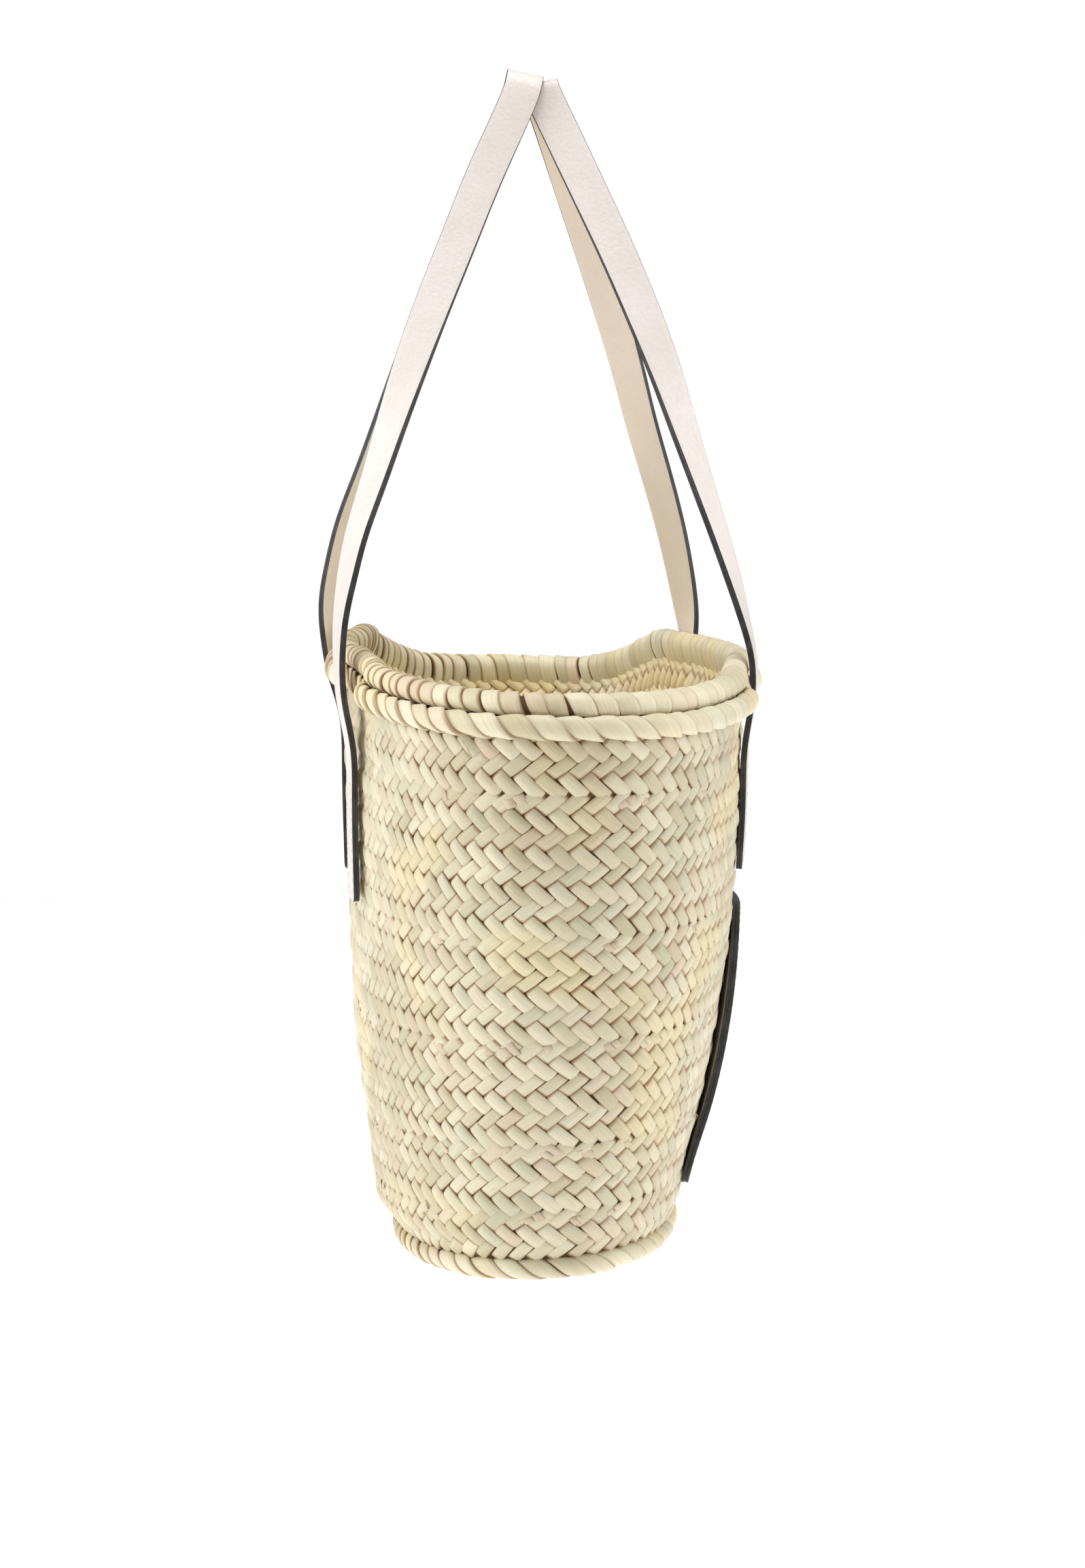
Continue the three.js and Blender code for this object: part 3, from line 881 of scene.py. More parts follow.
def wall_weave(name, weave, row_range, inside, material):
    """Strands of some rows of the wall, on its outer or inner face."""
    rng = np.random.default_rng(SEEDS[name])
    across = INNER_ACROSS if inside else STRAND_ACROSS
    made = []
    for low, high, count, angle_of in wall_bands(weave):
        phase = BAND_PHASE * low
        for row in range(max(low, row_range[0]), min(high, row_range[1])):
            falling = row % 2 == 1
            along = INNER_ALONG if inside else FALLING_ALONG if falling else RISING_ALONG
            by_seam = row in (low, high - 1) and 0 < row < weave.rows - 1
            p, q, height, edge, u, v = strand_grid(rng, count, falling, along, across, weave, by_seam)
            start = phase + (0.5 if falling else 0.0)
            ring = (np.arange(count)[:, None, None] + start + p) / count
            rise = (row + 0.5 + q) / weave.rows
            if inside:
                out = -WALL_THICKNESS - height
            else:
                out = height + BAND_RELIEF * (band_swell(rise * weave.rows) - 1)
            points = wall_point(angle_of(ring), rise, out)
            centres = points[:, len(along) // 2, len(across) // 2]
            made.append((points, strand_attributes(rng, edge, u, v, *leaf_tones(rng, centres))))
    return woven(name, made, outward_near(made[0][0]) * (-1 if inside else 1), material)


def outward_near(grid):
    """Which way is out of the wall at the first point of a grid, near enough to turn faces by."""
    x, y, _ = grid[0, 0, 0]
    return outward(math.atan2(y - CENTRE_Y, x * RIM_DEPTH / RIM_LENGTH), 0.5)


# The sleeve of painted shade lies this deep in the wall and rises this far into the roll
UNDERLAYER_DEPTH = 0.0008
UNDERLAYER_TOP = 0.0028


def underlayer(material):
    """The sleeve that shows between the strands, coloured dark as painted shade."""
    steps, levels = 160, 24
    angle = np.linspace(0, 2 * math.pi, steps, endpoint=False)[:, None]
    rise = np.linspace(0, 1 + UNDERLAYER_TOP / WALL_HEIGHT, levels)[None]
    outer = wall_point(angle, rise, -UNDERLAYER_DEPTH)
    inner = wall_point(angle, rise[:, ::-1], UNDERLAYER_DEPTH - WALL_THICKNESS)
    ring = np.concatenate([outer, inner], 1)
    return piece_from("wall_underlayer", ring.reshape(-1, 3), ring_faces(steps, ring.shape[1]), material)


# How far the base's strands and its layer of painted shade lie inside its faces, the overlap in its middle,
# and where its edge and its underside are, measured from the foot of the wall
BASE_SINK = 0.0012
BASE_CORE_DEPTH = 0.0018
BASE_OVERLAP = 0.0003
BASE_INSET = WALL_THICKNESS / 2 + COIL_DIAMETER / 2 + SEAM
BASE_LEVEL = -SEAM - COIL_DIAMETER


def base_weave(name, weave, below, material):
    """Rows of strands sewn in ovals from the foot coil to the middle of the base."""
    rng = np.random.default_rng(SEEDS[name])
    depth = FOOT_DEPTH / 2 + FOOT_FORWARD - BASE_INSET
    rows = int(depth / weave.base_row)
    row_width = depth / rows
    made = []
    level = BASE_LEVEL + (0.0 if below else BASE_THICKNESS)
    for row in range(rows):
        middle = BASE_INSET + (row + 0.5) * row_width
        run, angle_of = round_plan(0.0, middle)
        count = max(round(run / weave.pitch), 6)
        p, q, height, edge, u, v = strand_grid(rng, count, row % 2 == 1, INNER_ALONG, INNER_ACROSS, weave)
        ring = (np.arange(count)[:, None, None] + rng.uniform() + p) / count
        inset = np.minimum(middle - q * row_width, BASE_INSET + depth + BASE_OVERLAP)
        points = wall_point(angle_of(ring), 0.0, 0.0, inset)
        points[..., 2] += level + (-1 if below else 1) * (height - BASE_SINK)
        made.append((points, strand_attributes(rng, edge, u, v, *leaf_tones(rng, points[:, 2, 2]))))
    return woven(name, made, -UP if below else UP, material)


def base_core(material):
    """The layer inside the base, between its two faces of strands, dark with painted shade."""
    count = 96
    angle = np.linspace(0, 2 * math.pi, count, endpoint=False)
    lifts = [BASE_LEVEL + BASE_CORE_DEPTH, BASE_LEVEL + BASE_THICKNESS - BASE_CORE_DEPTH]
    rings = [wall_point(angle, 0.0, -BASE_INSET) + UP * lift for lift in lifts]
    faces = [[(i + 1) % count + count, i + count, i, (i + 1) % count] for i in range(count)]
    faces.append(list(range(count - 1, -1, -1)))
    faces.append([count + i for i in range(count)])
    return piece_from("base_underlayer", np.concatenate(rings), faces, material)


# Edging

# Leaves of the wrapped rings: points along a leaf, its overlap, taper and unevenness as shares
# of a pitch, the power that shapes its top, and the other sizes in metres
RIM_LEAF, COLLAR_LEAF, FOOT_LEAF = table(
    "steps overlap taper uneven flat arch shingle tuck crease sway girth",
    (22, 0.012, 0.08, 0.09, 6, 0.0003, 0.00045, 0.0012, 0.00008, 0.0003, 0.0063),
    (17, 0.050, 0.38, 0.08, 4, 0.0007, 0.00090, 0.0012, 0.00040, 0.0008, 0.0050),
    (17, 0.040, 0.24, 0.05, 3, 0.0008, 0.00050, 0.0010, 0.00015, 0.0003, 0.0050),
)

# Depths of a wrapped leaf's border, its underside and the bundle inside, below the ring's surface
LEAF_EDGE_SINK = 0.0005
LEAF_UNDERSIDE = 0.0020
CORE_SINK = 0.0016


def wrapped_ring(name, rise, place, pitch, slant, turn_from, turn_to, shape, material):
    """Leaves wound round a ring that follows the wall at one rise. place(angle, turn, swell)
    gives the point at a turn of the section. A leaf runs from one turn to another while it
    travels slant along the ring for each half turn."""
    rng = np.random.default_rng(SEEDS[name])
    run, angle_of = round_plan(rise)
    count = round(run / pitch)
    turns = np.linspace(turn_from, turn_to, shape["steps"])
    across = np.array([-1, -0.93, -0.55, 0.0, 0.55, 0.93, 1])
    t, v = np.meshgrid(turns, across, indexing="ij")
    middle = (turn_from + turn_to) / 2
    half = abs(turn_to - turn_from) / 2
    along = (t - middle) / half

    def vary(amount):
        return rng.uniform(-amount, amount, count)[:, None, None]
    travel = -slant / math.pi * (t - middle) / pitch
    uneven = shape["uneven"]
    wide = 0.5 + shape["overlap"] + vary(uneven)
    wide = wide * (1 - (shape["taper"] + vary(0.06)) * np.abs(along) ** 3)
    skew = vary(uneven) + vary(1.5 * uneven) * along + vary(uneven) * np.abs(along)
    ring = (np.arange(count)[:, None, None] + travel + v * wide + skew) / count
    arch = shape["arch"] * (1 + vary(0.3))
    crease = np.exp(-((v - vary(0.6)) / 0.25) ** 2) * (shape["crease"] + vary(0.0002))
    swell = arch * (1 - np.abs(v) ** shape["flat"]) + (shape["shingle"] + vary(0.0002)) * v - crease
    swell = swell + vary(shape["sway"]) * np.cos(2.5 * along)
    swell = swell - shape["tuck"] * np.abs(along) ** 6
    low = np.abs(v) > BORDER
    top = place(angle_of(ring), t + 0 * ring, np.where(low, -LEAF_EDGE_SINK, swell))
    under = place(angle_of(ring), t + 0 * ring, np.full(ring.shape, -LEAF_UNDERSIDE))
    edge = np.where(low, 1.0, np.where(np.abs(v) > 0.9, 0.58, 0.0)) + 0 * ring
    tones, tints = leaf_tones(rng, top[:, len(turns) // 2, 3])
    girth = shape["girth"] * half * 1000
    made = strand_attributes(rng, edge, along * girth / HALF_STRAND_LONG + 0 * ring,
                             v * pitch * 500 / HALF_STRAND_WIDE + 0 * ring, tones, tints)
    attributes = {key: value.reshape(count, -1, 3) for key, value in made.items()}
    row, column = len(turns) // 2, len(across) // 2
    probe = row * (len(across) - 1) + column
    facing = top[0, row, column] - under[0, row, column]
    return shells(name, top, under, facing, material, attributes, probe)


# How far the collar's top is above the wall's, and the tails of the rim's leaves inside the
# wall: how much of a leaf's turn they take, how far they run down and how far they lean
COLLAR_RAISE = 0.0019
TAIL_TURN = 1.5
TAIL_DROP = 0.0125
TAIL_LEAN = 0.0034


def section_place(rise, out, lift, width, height, squeeze=0.0, tail=0.0):
    """Places points round an oval section that follows the wall at one rise. out is the place
    of its inner side. With a tail, what goes past that side runs down the inside of the wall."""
    def place(angle, turn, swell):
        base = wall_point(angle, rise, 0.0)
        wide = width - squeeze * near_strap(base[..., 0])
        normal = outward(angle, rise)
        fall = np.clip((turn - math.pi) / TAIL_TURN, 0, 1) if tail else 0 * turn
        round_turn = np.minimum(turn, math.pi) if tail else turn
        radial = out + wide / 2 + (wide / 2 + swell) * np.cos(round_turn) + TAIL_LEAN * fall**2
        upward = lift + (height / 2 + swell) * np.sin(round_turn) - tail * fall
        return base + normal * radial[..., None] + UP * upward[..., None]
    return place


def ring_core(name, place, material):
    """The bundle inside a wrapped ring."""
    steps, sides = 180, 12
    angle = np.linspace(0, 2 * math.pi, steps, endpoint=False)[:, None]
    turn = np.linspace(0, 2 * math.pi, sides, endpoint=False)[None]
    points = place(angle + 0 * turn, turn + 0 * angle, np.full((steps, sides), -CORE_SINK))
    return piece_from(name, points.reshape(-1, 3), ring_faces(steps, sides), material)


# Straps and patch

# Smoothing passes of a leg and of a whole strap, and the steps round a strap's corner
LEG_EASING = 9
FOLD_EASING = 3
CORNER_STEPS = 6

# How much of the seam between two plies the lining and the patch's backing take up
LINING_FILL = 0.9
BACKING_FILL = 0.6

# Where the box of stitches starts and ends above a strap's end, its spacing in stitches and how
# thick a stitch is for its length
SEWING_START = 0.001
SEWING_END = 0.062
STITCH_SPACING = 1.45
STITCH_SLENDER = 0.26


def eased(line, passes):
    """A row of values with its kinks smoothed away. Its ends stay."""
    for _ in range(passes):
        line = np.concatenate([line[:1], (line[:-2] + 2 * line[1:-1] + line[2:]) / 4, line[-1:]])
    return line


def leg_stations(side, hand, wall_steps, free_steps):
    """Stations of one leg from its lower end to the start of the fold: centres and turns."""
    seat = next(row for row in LEG_SEATS if row["side"] == side and row["hand"] == hand)
    angle = float(angle_at(1.0, hand * HANDLE_SPREAD / 2, side))
    collar_out = COLLAR_SEAT + COLLAR_WIDTH - COLLAR_DENT + seat["collar_gap"] + STRAP_THICKNESS / 2
    wall_out = seat["wall_gap"] + STRAP_THICKNESS / 2
    drop = seat["reach"] * (1 - np.arange(wall_steps) / wall_steps)
    clear = 1 - smoothstep(drop, COLLAR_FOOT, COLLAR_FOOT + STRAP_EASE)
    below = np.maximum(drop - ROLL_HEIGHT, 0)
    above = np.maximum(ROLL_HEIGHT - drop, 0)
    low = wall_point(angle, 1 - below / WALL_HEIGHT, lerp(wall_out, collar_out, clear))
    low = low + UP * above[:, None]

    start = wall_point(angle, 1.0, collar_out) + UP * ROLL_HEIGHT
    radius, fold_y, level = fold_place(side)
    top = np.array([hand * radius, fold_y, level])
    rise = np.arange(free_steps) / free_steps
    route = ("front" if side < 0 else "back") + ("_near" if hand < 0 else "_far")
    free = np.stack([
        lerp(top[0], start[0], read_table(LEG_ROUTE, "along", rise)),
        lerp(top[1], start[1], read_table(LEG_ROUTE, route, rise)),
        lerp(start[2], top[2], rise),
    ], -1)
    turn = np.concatenate([np.zeros(wall_steps), read_table(LEG_TURN, "near" if hand < 0 else "far", rise)])
    return eased(np.concatenate([low, free]), LEG_EASING), eased(turn, LEG_EASING), outward(angle, 1.0)


def fold_place(side):
    radius = FRONT_FOLD_RADIUS + (FOLD_SPACING if side > 0 else 0)
    return radius, BACK_FOLD_Y if side > 0 else FRONT_FOLD_Y, -FRONT_FOLD_RADIUS + STRAP_THICKNESS / 2


def handle_stations(side, wall_steps=26, free_steps=90, fold_steps=12):
    """Centre, outward and across directions of a whole strap, from its near end to its far end."""
    centres, outs = [], []
    for hand in (-1, 1):
        centre, turn, flat_out = leg_stations(side, hand, wall_steps, free_steps)
        loop_out = np.array([float(hand), 0, 0])
        out = flat_out * np.cos(turn * math.pi / 2)[:, None] + loop_out * np.sin(turn * math.pi / 2)[:, None]
        centres.append(centre)
        outs.append(out)
    radius, fold_y, level = fold_place(side)
    lean = np.array([0, -side * math.sin(FOLD_TILT), math.cos(FOLD_TILT)])
    angle = np.linspace(math.pi, 0, fold_steps + 1)
    fold_out = np.cos(angle)[:, None] * np.array([1.0, 0, 0]) + np.sin(angle)[:, None] * lean
    fold = np.array([0, fold_y, level]) + fold_out * radius
    centre = eased(np.concatenate([centres[0], fold, centres[1][::-1]]), FOLD_EASING)
    out = eased(np.concatenate([outs[0], fold_out, outs[1][::-1]]), FOLD_EASING)
    along = unit(np.gradient(centre, axis=0))
    out = unit(out - along * (out * along).sum(-1, keepdims=True))
    return centre, out, np.cross(along, out)


def corner_narrowing(run, corner):
    """How much narrower a strip is near its ends, for rounded corners."""
    from_end = np.minimum(run, run[-1] - run)
    inside = np.clip(corner - from_end, 0, corner)
    return corner - np.sqrt(np.maximum(corner**2 - inside**2, 0))


def ribbon(name, points, thickness, offset, rounding, face, edge):
    """A strip of leather from a grid of points, given its thickness and rounded edges."""
    rows, columns, _ = points.shape
    deselect()
    bpy.ops.mesh.primitive_grid_add(x_subdivisions=columns - 1, y_subdivisions=rows - 1, size=1)
    strip = bpy.context.active_object
    strip.name = strip.data.name = name
    strip.data.vertices.foreach_set("co", points.reshape(-1).astype(np.float32))
    strip.data.update()
    strip.data.materials.append(face)
    strip.data.materials.append(edge)
    solid = strip.modifiers.new("thickness", "SOLIDIFY")
    solid.thickness = thickness
    solid.offset = offset
    solid.material_offset_rim = 1
    bevel = strip.modifiers.new("edges", "BEVEL")
    bevel.width = rounding
    bevel.segments = 3
    bevel.angle_limit = math.radians(50)
    bevel.material = 1
    for modifier in ("thickness", "edges"):
        bpy.ops.object.modifier_apply(modifier=modifier)
    bpy.ops.object.shade_smooth_by_angle(angle=math.radians(40))
    deselect()
    return strip


def strap_points(side, depth, corner, columns=7):
    """Grid of points across a strap at one depth of its thickness, outward positive."""
    centre, out, across = handle_stations(side)
    run = run_along(centre)
    stations = np.concatenate([
        np.linspace(0, corner, CORNER_STEPS)[:-1],
        run[(run > corner) & (run < run[-1] - corner)],
        run[-1] - np.linspace(corner, 0, CORNER_STEPS)[1:],
        [run[-1] - corner],
    ])
    at = np.unique(np.round(stations, 7))
    centre, out, across = (at_run(at, run, v) for v in (centre, out, across))
    half = STRAP_WIDTH / 2 - corner_narrowing(at, corner)
    sideways = np.linspace(-1, 1, columns)[None, :, None] * half[:, None, None]
    return centre[:, None] + across[:, None] * sideways + out[:, None] * depth


def patch_points(out, corner, inset=0.0, columns=25):
    """Grid of points over the patch, which follows the wall's front and bows off it. With an
    inset the grid stays that far inside the patch's edge."""
    tall = PATCH_HEIGHT - 2 * inset
    even = np.linspace(corner, tall - corner, 22)
    ends = corner * (1 - np.cos(np.linspace(0, math.pi / 2, 8)))[:-1]
    run = np.concatenate([ends, even, (tall - ends)[::-1]])
    half = PATCH_LENGTH / 2 - inset - corner_narrowing(run, corner)
    drop = run + inset
    spread = np.linspace(-1, 1, columns)
    x = spread[None] * half[:, None]
    row = drop[:, None] / PATCH_HEIGHT
    rise = 1 - (PATCH_DROP + drop[:, None]) / WALL_HEIGHT
    bow = PATCH_BOW * np.sin(math.pi * row) * (2 * x / PATCH_LENGTH) ** 2
    return wall_point(angle_at(rise, x, -1), rise + 0 * x, out + bow)


def stitches(name, places, directions, normals, size, material):
    """Short rounded stitches, one mesh: a sphere stretched along the row and copied."""
    deselect()
    bpy.ops.mesh.primitive_uv_sphere_add(segments=8, ring_count=6, radius=0.5)
    seed = bpy.context.active_object
    shape = np.array([v.co for v in seed.data.vertices])
    faces = [list(p.vertices) for p in seed.data.polygons]
    bpy.data.objects.remove(seed, do_unlink=True)
    deselect()
    side = np.cross(normals, directions)
    scaled = shape * np.array([size, size * STITCH_SLENDER, size * STITCH_SLENDER])
    points = (places[:, None] + directions[:, None] * scaled[None, :, :1]
              + side[:, None] * scaled[None, :, 1:2] + normals[:, None] * scaled[None, :, 2:])
    return piece_from(name, points.reshape(-1, 3), repeat_faces(faces, len(places), len(shape)), material)


def line_of(places, spacing):
    """Evenly spaced places along a line of points, and the line's directions there."""
    run = run_along(places)
    count = max(int(run[-1] / spacing), 2)
    at = (np.arange(count) + 0.5) * run[-1] / count
    ahead, behind = (at_run(at + step, run, places) for step in (spacing / 4, -spacing / 4))
    return at_run(at, run, places), unit(ahead - behind)


# Fibres

def threads(name, routes, radius, material, tones):
    """Thin loose fibres along short routes, one mesh of tapered four-sided tubes."""
    points, faces, leaves, strands = [], [], [], []
    sides = 4
    for route, tone in zip(routes, tones):
        along = unit(np.gradient(route, axis=0))
        side = unit(np.cross(along, UP + 0.3))
        other = np.cross(along, side)
        start = len(points)
        steps = len(route)
        for i in range(steps):
            thin = radius * (1 - 0.7 * i / (steps - 1))
            for k in range(sides):
                turn = 2 * math.pi * k / sides
                points.append(route[i] + (side[i] * math.cos(turn) + other[i] * math.sin(turn) * 0.6) * thin)
                leaves.append((tone, 0.55, 0.0))
                strands.append((i * 1.0, k * 0.3, tone * 40))
        for i in range(steps - 1):
            for k in range(sides):
                a, b = start + i * sides + k, start + i * sides + (k + 1) % sides
                faces.append([a, b, b + sides, a + sides])
        faces.append([start + k for k in range(sides - 1, -1, -1)])
        faces.append([start + (steps - 1) * sides + k for k in range(sides)])
    attributes = dict(leaf=np.array(leaves), strand=np.array(strands))
    return piece_from(name, np.array(points), faces, material, attributes)


# Cut leaf ends: places of their points, how many cells have some, their height over the wall
# and how far they keep from straps and patch
STUB_LINE = np.array([-1, -0.88, 0.0, 0.88, 1])
STUB_SHARE = 0.26
STUB_HEIGHT = 0.00120
STUB_MARGIN = 0.006
PATCH_MARGIN = 0.008
STRAP_REACH = 0.130

FIBRE_COUNT = 46
FIBRE_STEPS = 9
FIBRE_RADIUS = 0.00028


def clear_of_leather(angle, rise):
    """Whether a place on the wall is away from the patch and the straps."""
    x, y, _ = wall_point(angle, rise, 0.0)
    drop = WALL_HEIGHT * (1 - rise)
    by_patch = y < 0 and abs(x) < PATCH_LENGTH / 2 + STUB_MARGIN and drop > PATCH_DROP - PATCH_MARGIN
    by_strap = abs(abs(x) - HANDLE_SPREAD / 2) < STRAP_WIDTH / 2 + STUB_MARGIN and drop < STRAP_REACH
    return not (by_patch or by_strap)


def seam_stubs(name, weave, material):
    """Small cut leaf ends, one or two side by side, that lie on the rising strands along the
    seams between the plait's bands."""
    rng = np.random.default_rng(SEEDS[name])
    made = []
    u, v = np.meshgrid(STUB_LINE, STUB_LINE, indexing="ij")
    rim = (np.abs(u) > BORDER) | (np.abs(v) > BORDER)
    for low, _, count, angle_of in wall_bands(weave):
        if low == 0:
            continue
        step = 1 / (count * weave.pitch)
        for k in range(count):
            spot = (k + BAND_PHASE * low + rng.uniform(-0.1, 0.1)) / count
            rise = (low - 0.55 + rng.uniform(-0.15, 0.15)) / weave.rows
            strips, leaf_tone = rng.integers(1, 3), rng.uniform(0.0, 0.7)
            if rng.uniform() > STUB_SHARE or not clear_of_leather(angle_of(spot), rise):
                continue
            half_wide = rng.uniform(0.0014, 0.0030)
            half_tall = rng.uniform(0.0018, 0.0032)
            lean, tint = rng.uniform(0.4, 1.3), rng.uniform(0.8, 1.3)
            for n in range(strips):
                sideways = (n - (strips - 1) / 2) * half_wide * 2.05
                tall = half_tall * rng.uniform(0.75, 1.15)
                s = sideways + v * half_wide - u * tall * lean
                h = sideways * 0.35 + v * half_wide * 0.35 + u * tall + rng.uniform(-0.0004, 0.0004)
                tilt = 0.00015 * rng.uniform(-1, 1) * v + 0.00025 * rng.uniform(0, 1) * (1 - u)
                height = STUB_HEIGHT + tilt - np.where(rim, 0.0005, 0)
                points = wall_point(angle_of(spot + s * step), rise + h / WALL_HEIGHT, height)
                edge = np.where(rim, 0.62, np.where((np.abs(v) > 0.8) | (np.abs(u) > 0.8), 0.38, 0.0))
                tone = np.full_like(u, leaf_tone + rng.uniform(-0.1, 0.1))
                leaf = np.stack([tone, np.full_like(u, tint), edge], -1)
                strand = np.stack([u * 2 + spot * 300, v * 1.2 + n * 3, tone * 50], -1)
                made.append((points[None], dict(leaf=leaf.reshape(-1, 3), strand=strand.reshape(-1, 3))))
    return woven(name, made, outward_near(made[0][0]), material)


def loose_fibres(name, material):
    """A few thin curled fibres that stand off the wall."""
    rng = np.random.default_rng(SEEDS[name])
    routes, tones = [], []
    t = np.linspace(0, 1, FIBRE_STEPS)
    for _ in range(FIBRE_COUNT):
        angle = rng.uniform(0, 2 * math.pi)
        rise = rng.uniform(0.08, 0.93)
        size = rng.uniform(0.006, 0.016)
        heading = rng.uniform(-math.pi, math.pi)
        turn = heading + rng.uniform(-1.6, 1.6) * t
        sideways = np.cumsum(np.cos(turn)) * size / FIBRE_STEPS
        upward = np.cumsum(np.sin(turn)) * size / FIBRE_STEPS
        out = 0.0012 + 0.0022 * np.sin(math.pi * t * rng.uniform(0.6, 1.1)) * rng.uniform(0.4, 1.0)
        radius = RIM_LENGTH * 0.3
        routes.append(wall_point(angle + sideways / radius, rise + upward / WALL_HEIGHT, out))
        tones.append(rng.uniform(0.4, 1.0))
    return threads(name, routes, FIBRE_RADIUS, material, tones)


# Operators

class BAG_OT_wall(bpy.types.Operator):
    """Weave the wall's strands, outside and inside, over its underlayer of painted shade"""
    bl_idname = "bag.wall"
    bl_label = "Woven Wall"
    bl_options = {"REGISTER", "UNDO"}

    def execute(self, context):
        weave, palette = settings("weave"), settings("palette")
        palm = finish_named("palm_leaf", palm_finish, palette)
        # Painted light: the inner weave is a brighter, more golden copy of the palm leaf (tone shift, gain
        # and more gold patches), standing for the light that falls into the bag
        inner = finish_named("palm_leaf_inside_painted_light", palm_finish, palette, tone_shift=0.6, gain=1.24, sun=0.8)
        dark = finish_named("palm_underlayer_painted_shade", shadow_finish, palette)
        settle(underlayer(dark), "palm_weave", "basket_wall")
        low, high = (round(weave.rows * split) for split in OUTER_SPLITS)
        for name, rows, inside, finish in (
            ("weave_outer_lower", (0, low), False, palm),
            ("weave_outer_middle", (low, high), False, palm),
            ("weave_outer_upper", (high, weave.rows), False, palm),
            ("weave_inner", (0, weave.rows), True, inner),
        ):
            settle(wall_weave(name, weave, rows, inside, finish), "palm_weave", "basket_wall")
        return {"FINISHED"}


class BAG_OT_base(bpy.types.Operator):
    """Weave the oval base, seen from below and from inside"""
    bl_idname = "bag.base"
    bl_label = "Woven Base"
    bl_options = {"REGISTER", "UNDO"}

    def execute(self, context):
        weave, palette = settings("weave"), settings("palette")
        palm = finish_named("palm_leaf", palm_finish, palette)
        dark = finish_named("palm_underlayer_painted_shade", shadow_finish, palette)
        settle(base_core(dark), "palm_weave", "base_panel")
        settle(base_weave("base_weave_below", weave, True, palm), "palm_weave", "base_panel")
        settle(base_weave("base_weave_inside", weave, False, palm), "palm_weave", "base_panel")
        return {"FINISHED"}


class BAG_OT_edging(bpy.types.Operator):
    """Wrap the rim and twist the collar and the foot coil"""
    bl_idname = "bag.edging"
    bl_label = "Rim, Collar and Foot"
    bl_options = {"REGISTER", "UNDO"}

    def execute(self, context):
        edging, palette = settings("edging"), settings("palette")
        palm = finish_named("palm_wraps", palm_finish, palette, tone_shift=0.1, gain=1.06)
        dark = finish_named("palm_underlayer_painted_shade", shadow_finish, palette)
        roll = -(WALL_THICKNESS + ROLL_WIDTH) / 2, SEAM + ROLL_HEIGHT / 2, ROLL_WIDTH, ROLL_HEIGHT
        rim = section_place(1.0, *roll, tail=TAIL_DROP)
        collar = section_place(1.0, COLLAR_SEAT, COLLAR_RAISE - COLLAR_HEIGHT / 2,
                               COLLAR_WIDTH, COLLAR_HEIGHT, COLLAR_DENT)
        coil = section_place(0.0, -(WALL_THICKNESS + COIL_DIAMETER) / 2, -SEAM - COIL_DIAMETER / 2,
                             COIL_DIAMETER, COIL_DIAMETER)
        wraps = wrapped_ring("rim_wraps", 1.0, rim, edging.wrap_pitch, edging.wrap_slant,
                             -1.15, math.pi + TAIL_TURN, RIM_LEAF, palm)
        settle(wraps, "palm_edging", "rim_roll")
        # The rim's core and the foot's core take the painted-shade material; the collar's core is plain leaf
        settle(ring_core("rim_core", section_place(1.0, *roll), dark), "palm_edging", "rim_roll")
        leaves = wrapped_ring("collar_leaves", 1.0, collar, edging.collar_pitch, edging.collar_slant,
                              -math.pi / 2 - 0.5, math.pi / 2 + 1.0, COLLAR_LEAF, palm)
        settle(leaves, "palm_edging", "collar_twist")
        settle(ring_core("collar_core", collar, palm), "palm_edging", "collar_twist")
        leaves = wrapped_ring("foot_leaves", 0.0, coil, edging.coil_pitch, edging.coil_slant,
                              -math.pi - 0.3, math.pi * 0.75, FOOT_LEAF, palm)
        settle(leaves, "palm_edging", "foot_coil")
        settle(ring_core("foot_core", coil, dark), "palm_edging", "foot_coil")
        return {"FINISHED"}


class BAG_OT_handles(bpy.types.Operator):
    """Make the two long leather handles with their linings, painted edges and stitches"""
    bl_idname = "bag.handles"
    bl_label = "Handles"
    bl_options = {"REGISTER", "UNDO"}

    def execute(self, context):
        leather, palette = settings("leather"), settings("palette")
        cream, tan, paint, thread = leather_finishes(leather, palette)
        corner, rounding = leather.strap_corner, leather.edge_round
        half, lining = STRAP_THICKNESS / 2, STRAP_LINING + SEAM * LINING_FILL
        for label, side in (("front", -1), ("back", 1)):
            face = strap_points(side, half - STRAP_LEATHER, corner)
            outer = ribbon(f"handle_{label}_outer", face, STRAP_LEATHER, 1.0, rounding, cream, paint)
            settle(outer, "cream_leather", f"handle_{label}_leather")
            face = strap_points(side, lining - half, corner)
            inner = ribbon(f"handle_{label}_inner", face, lining, -1.0, rounding * 0.7, tan, paint)
            settle(inner, "tan_lining", f"handle_{label}_lining")
            settle(self.sewing(f"handle_{label}_stitches", side, leather, thread), "cream_leather")
        return {"FINISHED"}

    def sewing(self, name, side, leather, thread):
        """A box of stitches on each end that is sewn to the wall."""
        strap = handle_stations(side)
        down = np.linspace(leather.stitch_inset + SEWING_START, SEWING_END, 40)
        inset = STRAP_WIDTH / 2 - leather.stitch_inset
        places, directions, normals = [], [], []
        for lines in (strap, [line[::-1] for line in strap]):
            run = run_along(lines[0])
            centre, out, across = (at_run(down, run, line) for line in lines)
            surface = centre + out * (STRAP_THICKNESS / 2)
            left, right = surface - across * inset, surface + across * inset
            ends = (np.stack([left[k], right[k]]) for k in (0, -1))
            for path in (left, right, *ends):
                spots, ahead = line_of(path, leather.stitch * STITCH_SPACING)
                places.append(spots)
                directions.append(ahead)
                normals.append(np.repeat(out[:1], len(spots), 0))
        lists = (np.concatenate(found) for found in (places, directions, normals))
        return stitches(name, *lists, leather.stitch, thread)


